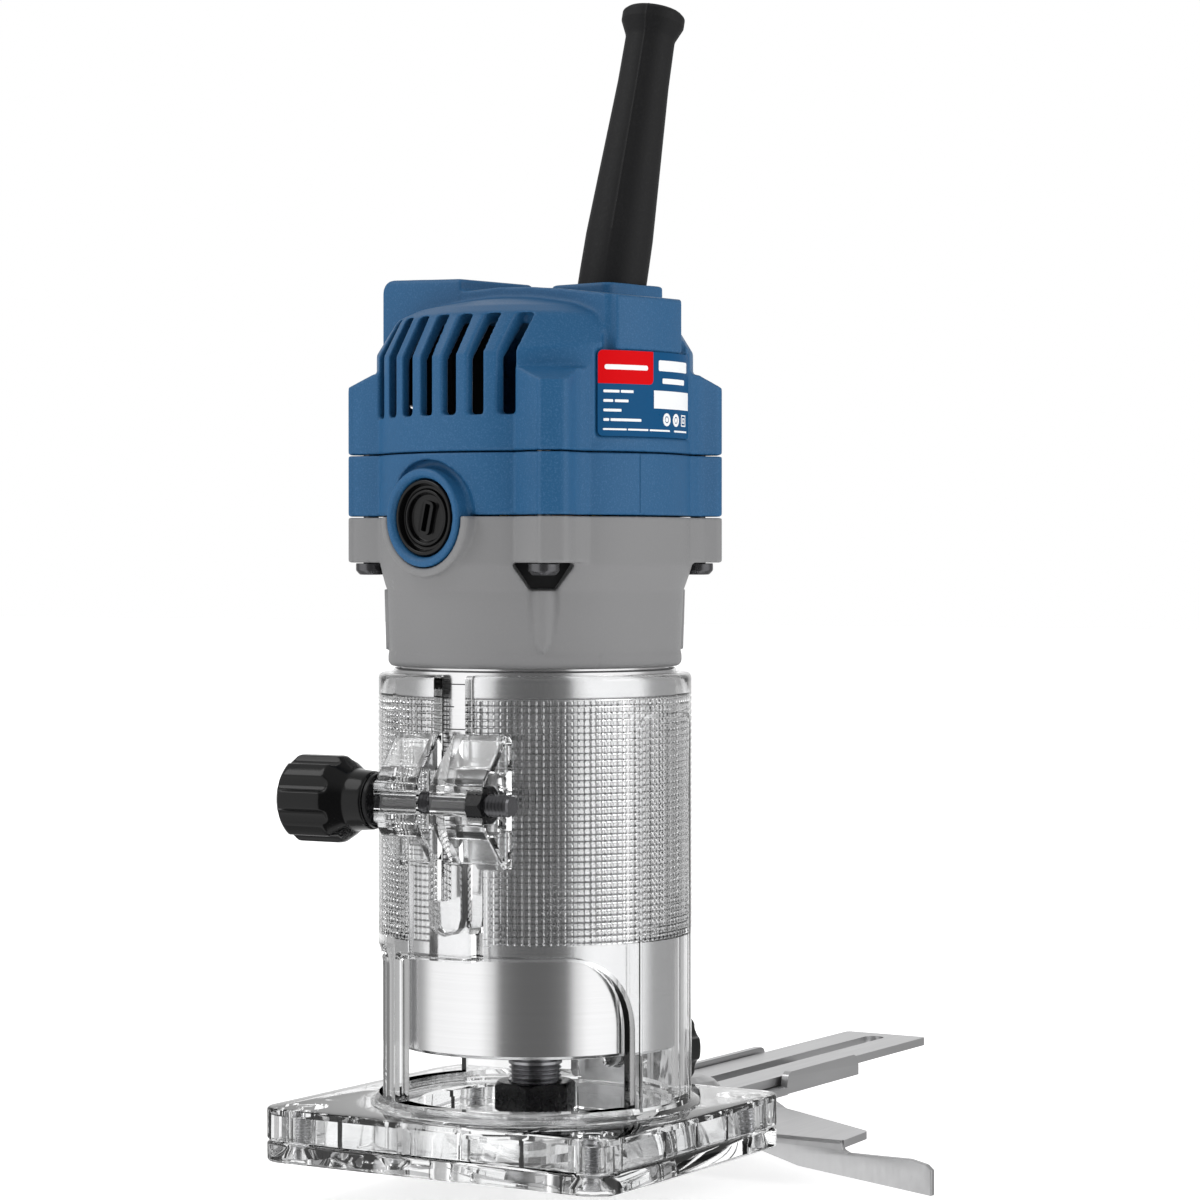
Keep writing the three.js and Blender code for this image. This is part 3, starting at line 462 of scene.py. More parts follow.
def make_cap():
    z0 = ZS2 + 0.15
    dome = lathe(fillet([(0, z0 - 1), (R, z0 - 1), (R, 181.6, 1.5), (30.5, 191.4, 3.0), (26.0, 193.5, 5), (17.5, 195.3, 5), (12, 196.1), (0, 196.8)], False, 4), 144)
    dome.data.transform(Matrix.Diagonal((1.06, 1.004, 1, 1)))
    cap = common(dome, disc(R, z0, 210, 144))
    bar = slab_y([(-40, 172), (40, 172), (40, 194.7), (34, 195.4), (18, 197.4), (8, 198.3), (0, 198.5), (-18, 198.1), (-34, 197.0), (-40, 196.6)], -12.4, 12.4)
    common(bar, disc(R, 172, 210, 144))
    bevel(bar, 1.3, 4, 40)
    left = slab_y([(-37.0, 202.0, 3.0), (-37.0, 186.5, 2), (-33.6, 179.6), (-11.7, 176), (-11.7, 201.1)], -12.6, 12.6)
    bevel(left, 0.8, 3, 50)
    right_lip = slab(rrect(0, 25.4, 19, 21.4, 3), 176, 201.0)
    bevel(right_lip, 0.6, 3, 50)
    join(cap, bar, left, right_lip)
    for s in (-1, 1):
        # hollow where the bar meets the round side
        cut(cap, disc(1.7, 182.0, 202, 32, mv(33.7, s * 12.9, 0)))
    for a in CORNERS:
        join(cap, boss(a, z0, 178.9, 3.4))
    # raised lip around the plate
    arc = lambda r, a0, a1, n: [(r * math.cos(math.radians(a0 + (a1 - a0) * i / n)), r * math.sin(math.radians(a0 + (a1 - a0) * i / n))) for i in range(n + 1)]
    cut(cap, lathe([(0, 150), (BORE + 0.9, 150), (BORE + 0.9, 181.0), (28.6, 189.0), (23.6, 190.4), (12, 193.0), (0, 193.6)], 96))
    cut(cap, box(-33.2, -18.5, -9.4, 9.4, 164, 199.2), box(-42, -30, -6.7, 6.7, 172.15, 191.85))
    gland = mv(0, 27.0, 201) @ rot(-13.2, "X")
    cut(cap, disc(7.2, -22, 8, 48, gland), disc(8.8, -24, -10.2, 48, gland), disc(8.45, -2.2, 8, 64, gland))
    for a in SIDES:
        for i in range(7):
            x = (i - 3) * 6.35
            top = 175.2 if (a == 180 and abs(i - 3) < 2) else 191.3
            v = box(x - 1.75, x + 1.75, -44, -22.5, 168.7, top, rot(a, "Z"))
            cut(cap, v)
    cut(cap, slab(arc(R + 2, -26.5, 26.5, 24) + arc(R - 0.7, 26.5, -26.5, 24), 163.6, 183.4))
    melt(cap, 0.44, 3)
    return place(cap, "cap_shell", "motor", HEAD, BLUE, ["top_cap"], sharp=0)


def make_middle():
    mid = tube(BORE, R, ZS1 + 0.15, ZS2 - 0.15, 144)
    for a in CORNERS:
        join(mid, boss(a, ZS1 + 0.15, ZS2 - 0.15))
    cut(mid, disc(BORE, 140, 170, 96))
    join(mid, box(-34, 34, -7, 7, 155.6, ZS2 - 0.15), disc(13, 153.4, ZS2 - 0.15, 48))
    for a in SIDES:
        cut(mid, ring_radial(a, 10.9, 12.9, 33.7, 42))
        join(mid, cut(radial(a, 23.5, 37.8, 11.0), radial(a, 36.9, 38.4, 9.3)))
    cut(mid, disc(9.6, 154.4, 170, 48), disc(6.5, 150, 170, 32))
    for a in SIDES:
        cut(mid, radial(a, 30.3, 42, 8.75), box(-4.75, 4.75, -42, -20, 146 - 4.75, 146 + 4.75, rot(a, "Z")))
    melt(mid, 0.44, 2)
    # fine mould line down the side, between the front corner and the plate side
    for b in (27.0, 207.0):
        cut(mid, box(R - 0.09, R + 2, -0.09, 0.09, 140, 170, rot(b - 35, "Z")))
    return place(mid, "brush_ring", "motor", HEAD, BLUE, ["middle_ring"], sharp=0)


def make_housing():
    top = ZS1 - 0.15
    low = lathe(fillet([(31, 112.4), (32.9, 112.4), (33.7, 113.3, 0.5), (33.7, 115.2, 0.3), (33.45, 115.7, 0.3), (34.1, 129.6, 0.4), (R, 135.4, 0.9),
                        (R, top), (BORE, top), (BORE, 138.4), (31, 136.4)], True) + [(31, 112.4)], 144)
    for a in CORNERS:
        join(low, boss(a, 136.0, top))
        # pointed rib under each boss
        rib = slab([(-2.9, 130.4), (-2.8, 126.0), (-2.3, 122.0), (-1.5, 118.6), (-0.6, 116.6), (0, 116.0), (0.6, 116.6), (1.5, 118.6), (2.3, 122.0), (2.8, 126.0), (2.9, 130.4)], 31.5, 34.7, rot(a, "Z") @ rot(90, "Z") @ rot(90, "X"))
        moat = slab([(-3.5, 131.0), (-3.4, 126.0), (-2.9, 121.6), (-2.1, 118.0), (-1.1, 115.9), (1.1, 115.9), (2.1, 118.0), (2.9, 121.6), (3.4, 126.0), (3.5, 131.0)], 33.35, 36, rot(a, "Z") @ rot(90, "Z") @ rot(90, "X"))
        cut(low, moat)
        common(rib, lathe([(0, 110), (2.4, 110), (3.0, 132), (0, 132)], 48, rot(a, "Z") @ mv(31.66, 0, 0)))
        join(low, rib)
    for a in SIDES:
        lip = radial(a, 31.5, 37.3, 13.2)
        cut(lip, box(-20, 20, -40, 40, top, 180, rot(a, "Z")))
        join(low, lip)
    cut(low, lathe([(0, 110), (31, 110), (31, 136.4), (BORE, 138.4), (BORE, 150), (0, 150)], 96))
    for a in SIDES:
        cut(low, radial(a, 20, 42, 11.25))
    for a in CORNERS:
        # three-sided pocket under the boss, with the screw in it
        m = rot(a, "Z")
        cut(low, slab([(-7.2, 136.0), (7.2, 136.0), (2.9, 129.9), (-2.9, 129.9)], 31.9, 46, m @ rot(90, "Z") @ rot(90, "X")))
        cut(low, disc(2.05, 128, 150, 24, screw_at(a)))
    # small notch in the lower rim
    cut(low, box(-0.35, 0.35, -36, -32.8, 110, 115.9, rot(67, "Z")))
    melt(low, 0.44, 2)
    # dark sheets at the back of each pocket, painted shade standing in for the shadow inside the pocket
    pocket_shade_sheets = []
    for a in CORNERS:
        pocket_shade_sheets.append(slab([(-6.3, 135.9, 0.3), (6.3, 135.9, 0.3), (2.6, 130.3, 0.3), (-2.6, 130.3, 0.3)], 32.15, 32.75, rot(a, "Z") @ rot(90, "Z") @ rot(90, "X")))
    place(merge(pocket_shade_sheets, "pocket_shade_sheets"), "pocket_painted_shade", "motor", HEAD, CARBON, sharp=30)
    return place(low, "grey_housing", "motor", HEAD, GREY, ["lower_housing"], sharp=0)


def make_screw(i, a):
    s = lathe(fillet([(0, 133.2), (2.6, 133.2, 0.8), (3.5, 134.2, 0.7), (3.5, 135.85, 0.2), (1.75, 135.85), (1.75, 172), (0, 172)], False), 48, screw_at(a))
    for t in (0, 90):
        cut(s, box(-2.1, 2.1, -0.42, 0.42, 132, 134.9, screw_at(a) @ rot(t + 45, "Z")))
    bevel(s, 0.12, 1, 40)
    return place(s, f"case_screw_{i}", "motor", HEAD, SCREW, [f"housing_screw_{i}"])


def make_brush_cap(k, a):
    y = 37.2
    c = lathe(fillet([(0, 30.6), (8.5, 30.6, 0.3), (8.5, y, 0.7), (7.6, y, 0.25), (7.2, y - 1.5, 0.25), (6.5, y - 1.5, 0.25), (6.2, y - 0.8, 0.3), (5.6, y - 0.8, 0.3), (5.2, y - 2.0, 0.3), (0, y - 2.0)], False, 4),
              96, rot(a, "Z") @ mv(0, 0, 146) @ rot(90, "X"))
    m = rot(a, "Z") @ mv(0, 0, 146) @ rot(14, "Y") @ mv(0, 0, -146)
    raised = slab_y([(-1.7, 142.2, 1.2), (1.7, 142.2, 1.2), (1.7, 149.8, 1.2), (-1.7, 149.8, 1.2)], -(y - 0.9), -(y - 2.6), m)
    join(c, raised)
    cut(c, slab_y([(-0.75, 142.9, 0.3), (0.75, 142.9, 0.3), (0.75, 149.1, 0.3), (-0.75, 149.1, 0.3)], -(y + 1), -(y - 2.4), m))
    bevel(c, 0.12, 2, 50)
    return place(c, f"brush_cover_{k}", "motor", HEAD, GLOSS, [f"brush_cap_{k}"])


def make_guard():
    prof = fillet([(4.0, -13), (8.2, -13, 0.4), (8.2, -10.6, 0.4), (6.9, -10.6, 0.3), (6.9, -1.9, 0.2), (8.05, -1.8, 0.3), (8.05, 3, 3), (7.95, 12, 6), (6.1, 50, 30), (5.9, 61.4, 3), (7.5, 65.0, 0.9), (7.5, 67.2, 0.8), (6.6, 68, 0.3), (4.0, 68, 0.5)], True, 6)
    seam = lambda a, z: (0.16 if (z > 4 and min(abs((a - b + math.pi) % (2 * math.pi) - math.pi) for b in (math.radians(-62), math.radians(118))) < 0.03) else 0.0)
    g = lathe(prof + [prof[0]], 144, mv(0, 27.0, 201) @ rot(-13.2, "X"), rfun=seam)
    return place(g, "cord_boot", "motor", HEAD, RUBBER, ["cord_guard"], sharp=40)


def make_rocker():
    out = [(-31.2, 0), (-32.6, 6.5), (-33.6, 8.4), (-38.2, 8.8, 0.9), (-37.2, 3, 6), (-36.9, 0, 6), (-37.2, -3, 6), (-38.2, -8.8, 0.9), (-33.6, -8.4), (-32.6, -6.5)]
    m = mv(-32.4, 0, 182) @ rot(-9, "Y") @ mv(32.4, 0, 0)
    r = slab_y(out, -6.3, 6.3, m)
    bevel(r, 0.35, 3, 25)
    return place(r, "rocker_key", "rocker_body", HEAD, GLOSS, ["rocker"])


def on_barrel(beta, z, r=32.5):
    return (r * math.sin(beta), -r * math.cos(beta), z)


def patch(b0, b1, z0, z1, r0, r1):
    """a thin plate wrapped on a cylinder; bearings in radians"""
    n = max(2, int(abs(b1 - b0) / 0.03) + 1)
    verts, faces = [], []
    for i in range(n + 1):
        b = b0 + (b1 - b0) * i / n
        for r in (r0, r1):
            for z in (z0, z1):
                verts.append((r * math.sin(b), -r * math.cos(b), z))
    for i in range(n):
        p, q = 4 * i, 4 * (i + 1)
        faces += [(p, q, q + 1, p + 1), (p + 2, p + 3, q + 3, q + 2), (p, p + 2, q + 2, q), (p + 1, q + 1, q + 3, p + 3)]
    faces += [(0, 1, 3, 2), (4 * n, 4 * n + 2, 4 * n + 3, 4 * n + 1)]
    return verts, faces


def patches(items):
    verts, faces = [], []
    for it in items:
        v, f = patch(*it)
        o = len(verts)
        verts += v
        faces += [tuple(i + o for i in t) for t in f]
    return obj("patches", verts, faces)


def make_barrel():
    b = lathe([(8, 25.9), (31.6, 25.9), (32.1, 26.1), (32.5, 26.7), (32.5, 111.6), (32.2, 112), (30.8, 112), (30.8, 128), (29.3, 128), (29.3, 36),
               (18, 36), (18, 38), (15.1, 38), (15.1, 28), (8, 28), (8, 25.9)], 160)
    place(b, "barrel_shell", "motor", HEAD, BARREL, ["motor_barrel"], sharp=30)
    r0, r1 = 32.49, 32.53
    px = 1 / 32.5
    b0 = math.radians(2.6)
    items = [(b0 - 0.28 * px, b0 + 0.28 * px, 66, 110.6, r0, r1)]
    for k in range(45):
        z = 66 + k
        ln = 6.2 if k % 10 == 3 else (3.0 if k % 5 == 3 else 1.6)
        items.append((b0 + 0.28 * px, b0 + (0.28 + ln) * px, z - 0.12, z + 0.12, r0, r1))
    s = patches(items)
    place(s, "depth_scale", "motor", HEAD, PRINT, sharp=30)


def make_rotor():
    prof = [(4.1, 19.0), (4.9, 12.6), (5.2, 10.9), (5.5, 10.9)]
    z = 11.4
    prof.append((6.05, z))
    while z < 20.4:
        prof += [(6.05, z), (5.45, z + 0.45), (6.05, z + 0.9)]
        z += 0.95
    prof += [(6.2, 21.0), (6.2, 21.6), (5.6, 22.0), (5.6, 22.6), (6.2, 23.0), (6.2, 37.6), (7.4, 37.6), (7.4, 39.4), (5, 39.4), (5, 153.6), (4, 153.6), (4, 161), (0, 161), (0, 40), (4.1, 38), (4.1, 19.0)]
    clean = [prof[0]]
    for p in prof[1:]:
        if (Vector(p) - Vector(clean[-1])).length > 1e-4:
            clean.append(p)
    s = lathe(clean, 72)
    place(s, "spindle", "rotor", HEAD, SPINDLE, ["spindle_shaft"], sharp=25)
    nut = slab(polygon(6, 17.0 / math.sqrt(3), 0, 0.5), 9.8, 16.8)
    keep = lathe([(0, 9.8), (8.4, 9.8), (9.95, 10.8), (9.95, 15.8), (8.6, 16.8), (0, 16.8)], 72)
    common(nut, keep)
    cut(nut, lathe([(0, 9), (5.0, 9), (5.0, 10.4), (6.2, 10.6), (6.2, 17.4), (0, 17.4)], 48))
    bevel(nut, 0.15, 2, 20)
    place(nut, "collet_hex", "collet_nut_body", HEAD, BLACKOX, ["collet_nut"], sharp=25)


def plate_patch(u0, u1, z0, z1, r0, r1, corners=(0, 0, 0, 0)):
    """curved sheet on the side wall; u in degrees from the middle of the plate, corner radii in millimetres
    in the order low-left, low-right, high-right, high-left"""
    k = 180 / (math.pi * R)
    a0, a1 = u0 / k, u1 / k
    outline = fillet([(a0, z0, corners[0]), (a1, z0, corners[1]), (a1, z1, corners[2]), (a0, z1, corners[3])], True, 6)
    fine = []
    for p, q in zip(outline, outline[1:] + outline[:1]):
        n = max(1, int((Vector(q) - Vector(p)).length / 0.8))
        fine += [(p[0] + (q[0] - p[0]) * t / n, p[1] + (q[1] - p[1]) * t / n) for t in range(n)]
    sheet = slab([(p[0], p[1]) for p in fine], r0, r1)
    # cut the flat sheet into strips so that it bends smoothly, then wrap it
    bm = bmesh.new()
    bm.from_mesh(sheet.data)
    x = a0 + 0.8
    while x < a1 - 0.01:
        bmesh.ops.bisect_plane(bm, geom=bm.verts[:] + bm.edges[:] + bm.faces[:], plane_co=(x, 0, 0), plane_no=(1, 0, 0), dist=1e-5)
        x += 0.8
    for v in bm.verts:
        b = v.co.x / R
        rr, z = v.co.z, v.co.y
        v.co = Vector((rr * math.cos(b), rr * math.sin(b), z))
    bmesh.ops.recalc_face_normals(bm, faces=bm.faces)
    bm.to_mesh(sheet.data)
    bm.free()
    return sheet


def make_label():
    rr = R - 0.05
    plate = plate_patch(-25.6, 25.6, 164.0, 183.0, R - 0.5, rr, (1.2, 1.2, 1.2, 1.2))
    place(plate, "rating_plate", "motor", HEAD, LABEL_BLUE, ["nameplate"], sharp=30)
    red = plate_patch(-25.5, -1.4, 175.6, 182.95, rr - 0.02, rr + 0.05, (0, 1.2, 0, 1.2))
    place(red, "plate_red_block", "motor", HEAD, LABEL_RED, sharp=30)
    o0, o1 = rr - 0.02, rr + 0.06
    # generic marks only: plain bars, a blank field, two discs and a square ring
    parts = [plate_patch(-1.0, 24.6, 170.4, 174.4, o0, o1), plate_patch(1.6, 22.6, 178.8, 181.2, o0, o1, (0.4, 0.4, 0.4, 0.4)), plate_patch(3.8, 20.0, 176.0, 177.2, o0, o1, (0.3, 0.3, 0.3, 0.3)),
             plate_patch(-23.0, -4.2, 178.7, 179.8, rr, rr + 0.09, (0.5, 0.5, 0.5, 0.5))]
    for n, (z, ends) in enumerate(((173.9, (-23.4, -17.0, -16.4, -11.0)), (171.8, (-23.4, -19.6, -18.9, -13.2)), (169.7, (-23.4, -16.2)), (167.6, (-23.4, -21.2, -20.6, -7.4)), (165.5, (-23.6, -14.0, -13.4, -4.0, -3.2, 8.4, 11.4, 22.6)))):
        h = 0.3 if n < 4 else 0.2
        for e0, e1 in zip(ends[::2], ends[1::2]):
            parts.append(plate_patch(e0, e1, z - h, z + h, o0, o1, (0.15, 0.15, 0.15, 0.15)))
    marks = []
    for d, kind in ((6.4, 0), (12.8, 0), (19.2, 1)):
        c = mv(0, 0, 168.0) @ rot(d, "Z") @ ALONG_X(rr - 0.12, 0, 0)
        if kind == 0:
            q = disc(1.45, 0, 0.2, 32, c)
            cut(q, tube(0.55, 0.8, -1, 1, 32, c))
        else:
            q = slab([(-1.3, -1.3), (1.3, -1.3), (1.3, 1.3), (-1.3, 1.3)], 0, 0.2, c)
            cut(q, slab([(-1.02, -1.02), (1.02, -1.02), (1.02, 1.02), (-1.02, 1.02)], -1, 1, c))
            ring = slab([(-0.62, -0.62), (0.62, -0.62), (0.62, 0.62), (-0.62, 0.62)], 0, 0.2, c)
            cut(ring, slab([(-0.34, -0.34), (0.34, -0.34), (0.34, 0.34), (-0.34, 0.34)], -1, 1, c))
            q = merge([q, ring])
        marks.append(q)
    s = merge(parts + marks, "marks")
    place(s, "plate_white_marks", "motor", HEAD, LABEL_WHITE, sharp=30)


make_cap()
make_middle()
make_housing()
for _i, _a in enumerate(CORNERS):
    make_screw(_i + 1, _a)
for _i, _a in enumerate(SIDES):
    make_brush_cap(_i + 1, _a)
make_guard()
make_rocker()
make_barrel()
make_rotor()
make_label()


# ------------------------------------------------------------------ clear base
def tiled_tube():
    """wall of the base: smooth bore, outside covered with small raised squares"""
    N, ROWS, Z0, Z1, R0, R1 = 144, 36, 51.6, 105.6, 35.72, 36.0
    verts, faces = [], []

    def ringrow(r, z):
        o = len(verts)
        for j in range(N):
            a = 2 * math.pi * j / N
            verts.append((r * math.sin(a), -r * math.cos(a), z))
        return o

    def strip(a, b):
        for j in range(N):
            k = (j + 1) % N
            faces.append((a + j, a + k, b + k, b + j))

    grid = [ringrow(R0, Z0 + (Z1 - Z0) * i / ROWS) for i in range(ROWS + 1)]
    dz = (Z1 - Z0) / ROWS
    mg = 0.17
    for i in range(ROWS):
        for j in range(N):
            k = (j + 1) % N
            a0, a1 = 2 * math.pi * (j + mg) / N, 2 * math.pi * (j + 1 - mg) / N
            za, zb = Z0 + dz * (i + mg), Z0 + dz * (i + 1 - mg)
            o = len(verts)
            for a, z in ((a0, za), (a1, za), (a1, zb), (a0, zb)):
                verts.append((R1 * math.sin(a), -R1 * math.cos(a), z))
            c = (grid[i] + j, grid[i] + k, grid[i + 1] + k, grid[i + 1] + j)
            faces.append((o, o + 1, o + 2, o + 3))
            for q in range(4):
                faces.append((c[q], c[(q + 1) % 4], o + (q + 1) % 4, o + q))
    top = fillet([(36.0, 105.8), (36.0, 111.0, 1.3), (32.6, 111.0, 0.8), (32.6, 100)], False, 5)
    up = [ringrow(r, z) for r, z in top]
    strip(grid[-1], up[0])
    for a, b in zip(up, up[1:]):
        strip(a, b)
    down = [ringrow(r, z) for r, z in [(32.6, 8.0), (36.0, 8.0), (36.0, 51.4)]]
    strip(up[-1], down[0])
    for a, b in zip(down, down[1:]):
        strip(a, b)
    strip(down[-1], grid[0])
    return obj("tube", verts, faces)


def wrap_cutter(outline, stations, closed_n=6):
    """outline in (millimetres along the wall at R36 from -Y towards +X, z); stations of (radius, growth)"""
    pts = fillet(outline, True, closed_n)
    fine = []
    for p, q in zip(pts, pts[1:] + pts[:1]):
        n = max(1, int((Vector(q) - Vector(p)).length / 1.6))
        fine += [(p[0] + (q[0] - p[0]) * k / n, p[1] + (q[1] - p[1]) * k / n) for k in range(n)]
    n = len(fine)
    area = sum(fine[i][0] * fine[(i + 1) % n][1] - fine[(i + 1) % n][0] * fine[i][1] for i in range(n))
    s = 1 if area > 0 else -1
    verts, faces = [], []
    for r, g in stations:
        for i in range(n):
            t = Vector(fine[(i + 1) % n]) - Vector(fine[i - 1])
            t.normalize()
            x, z = fine[i][0] + s * t.y * g, fine[i][1] - s * t.x * g
            b = x / 36.0
            verts.append((r * math.sin(b), -r * math.cos(b), z))
    for k in range(len(stations) - 1):
        for i in range(n):
            j = (i + 1) % n
            faces.append((k * n + i, k * n + j, (k + 1) * n + j, (k + 1) * n + i))
    faces.append(tuple(range(n)))
    faces.append(tuple(range((len(stations) - 1) * n, len(stations) * n)))
    return obj("window", verts, faces)


def make_base():
    d = math.radians(1) * 36
    st = [(24, 0.7), (32.3, 0.7), (33.0, 0.0), (35.2, 0.0), (36.2, 0.9), (70, 0.9)]
    t = tiled_tube()
    cut(t, wrap_cutter([(-28 * d, 8), (-28 * d, 48, 1.5), (69 * d, 48, 16), (69 * d, 8)], st, 12))
    cut(t, wrap_cutter([(-118 * d, 12), (-118 * d, 48, 4), (-43 * d, 48, 4), (-43 * d, 12)], st, 8))
    # rim of the panel on the right side
    outer = wrap_cutter([(72 * d, 13), (108 * d, 13), (108 * d, 102.2, 3.0), (72 * d, 102.2, 3.0)], [(35.0, 0), (36.4, 0)], 8)
    cut(outer, wrap_cutter([(73.3 * d, 2), (106.7 * d, 2), (106.7 * d, 101.4, 2.3), (73.3 * d, 101.4, 2.3)], [(34.0, 0), (38.0, 0)], 8))
    join(t, outer)
    # flange: hollow underneath, ribs and screw posts left standing
    fl = slab(rrect(-2.1, -1.2, 92.6, 81.8, 6), 4.9, 12.4)
    bevel(fl, 0.7, 3, 40)
    pocket = slab(rrect(-2.1, -1.2, 92.6 - 4.6, 81.8 - 4.6, 4), 3, 10.4)
    cut(pocket, disc(37.2, 0, 14, 96))
    px, py = 46.3 - 8.2, 40.9 - 8.2
    for sx in (-1, 1):
        for sy in (-1, 1):
            cx, cy = -2.1 + sx * px, -1.2 + sy * py
            cut(pocket, disc(5.2, 0, 14, 48, mv(cx, cy, 0)))
            cut(pocket, box(cx - 0.7, cx + 0.7, -60 if sy < 0 else cy, cy if sy < 0 else 60, 0, 14),
                box(-60 if sx < 0 else cx, cx if sx < 0 else 60, cy - 0.7, cy + 0.7, 0, 14))
    for x in (-24, -8, 8, 24):
        cut(pocket, box(x - 2.1 - 0.65, x - 2.1 + 0.65, -60, 60, 0, 14))
    for y in (-14, 0, 14):
        cut(pocket, box(-60, 60, y - 1.2 - 0.65, y - 1.2 + 0.65, 0, 14))
    cut(fl, pocket)
    foot = lathe(fillet([(30, 10), (37.6, 10), (37.6, 12.0), (36.0, 14.6, 1.0), (30, 14.6)], True) , 96)
    foot2 = lathe([(0, 9), (37.9, 9), (37.9, 12.6), (36.6, 13.3), (35.9, 14.6), (0, 14.6)], 144)
    drop(foot)
    cut(foot2, wrap_cutter([(-118 * d, 12.45), (-118 * d, 20), (69 * d, 20), (69 * d, 12.45)], [(10, 0), (60, 0)]))
    join(t, foot2)
    join(t, fl)
    cut(t, disc(32.6, 12.4, 130, 144), disc(27, -5, 13, 96))
    # clamp ears: frame, web at the slit, sleeve for the screw
    ear = [(-34, 68.6), (-37.2, 68.6, 0.5), (-45.2, 77.6, 1.5), (-46, 80.5, 1.5), (-46, 86.2, 1.5), (-45.2, 89.0, 1.5), (-37.2, 98.2, 0.5), (-34, 98.2)]
    for s, x0, x1 in ((-1, -13.0, -1.8), (1, 1.8, 15.5)):
        e = slab_x(ear, x0, x1)
        bevel(e, 0.45, 2, 40)
        a, b = (x0 - 2, x1 - 2.6) if s < 0 else (x0 + 2.6, x1 + 2)
        for poly in ([(-36.0, 90.0, 0.4), (-42.0, 90.0, 0.4), (-36.9, 96.4, 0.6), (-36.0, 96.4, 0.4)], [(-36.0, 77.0, 0.4), (-36.0, 70.4, 0.4), (-36.9, 70.4, 0.6), (-42.0, 76.6, 0.4)]):
            cut(e, slab_x(poly, a, b))
        w = disc(5.3, x0 - 0.0, x1 + 0.0, 64, ALONG_X(0, -43.0, 83.3))
        cut(w, box(-60, 60, -60, -46.35, 60, 100))
        join(e, w)
        join(t, e)
    rail = slab([(-8.4, -34), (-8.4, -40.4, 0.9), (8.4, -40.4, 0.9), (8.4, -34)], 48.2, 70)
    bevel(rail, 0.25, 2, 40)
    join(t, rail)
    gb = slab([(-11, 33), (-11, 39.7, 1.0), (11, 39.7, 1.0), (11, 33)], 11, 28)
    join(t, gb)
    cut(t, disc(32.6, 12.4, 130, 144))
    # slot for the depth scale, slit between the ears
    cut(t, slab([(-4.15, -41), (4.15, -41), (4.15, -30), (-4.15, -30)], 98.2, 130),
        box(-1.8, 1.8, -52, -30, 61.5, 99),
        slab_y([(-4.15, 99), (-4.15, 57.5), (-3.6, 55.4), (-2.1, 53.9), (0, 53.35), (2.1, 53.9), (3.6, 55.4), (4.15, 57.5), (4.15, 99)], -36.2, -30))
    cut(t, disc(2.75, -20, 20, 32, ALONG_X(0, -43.0, 83.3)),
        slab(polygon(6, 8.3 / math.sqrt(3), math.pi / 6), 11.2, 17, ALONG_X(0, -43.0, 83.3)),
        disc(2.2, 33.4, 50, 32, ALONG_Y(0, 0, 18.0)))
    for sx in (-1, 1):
        for sy in (-1, 1):
            cut(t, disc(2.2, 4, 11.6, 24, mv(-2.1 + sx * px, -1.2 + sy * py, 0)))
    place(t, "clear_base", "base", BASE, CLEAR, ["base_tube"], sharp=18)

    sub = slab(rrect(-2.1, -1.2, 92.6, 81.8, 6), 0, 4.7)
    bevel(sub, 0.8, 3, 40)
    cut(sub, disc(17, -1, 6, 96))
    n = 0
    for sx, sy in ((-1, -1), (1, -1), (1, 1), (-1, 1)):
        at = mv(-2.1 + sx * px, -1.2 + sy * py, 0)
        cut(sub, lathe([(0, -1), (4.1, -1), (4.1, 1.0), (2.3, 2.8), (2.3, 6), (0, 6)], 48, at))
        n += 1
        prof = [(0, 0.7), (3.4, 0.7), (3.7, 0.95), (2.0, 2.7)]
        z = 2.9
        while z < 10.2:
            prof += [(2.0, z), (1.6, z + 0.3), (2.0, z + 0.6)]
            z += 0.62
        prof += [(1.5, 11), (0, 11)]
        s = lathe(prof, 32, at)
        for tdeg in (0, 90):
            cut(s, box(-2, 2, -0.4, 0.4, -0.5, 1.7, at @ rot(tdeg + 20, "Z")))
        place(s, f"sole_screw_{n}", "base", BASE, STEEL, [f"sub_base_screw_{n}"], sharp=25)
    place(sub, "clear_sole", "base", BASE, CLEAR, ["sub_base"], sharp=30)


def threaded(z0, z1, r, pitch, depth=0.35, head=()):
    prof, z = [(0, z0), (r - depth, z0)], z0 + 0.4
    while z < z1 - pitch:
        prof += [(r, z), (r - depth, z + pitch / 2)]
        z += pitch
    prof += [(r - depth, z1), (0, z1)]
    return prof


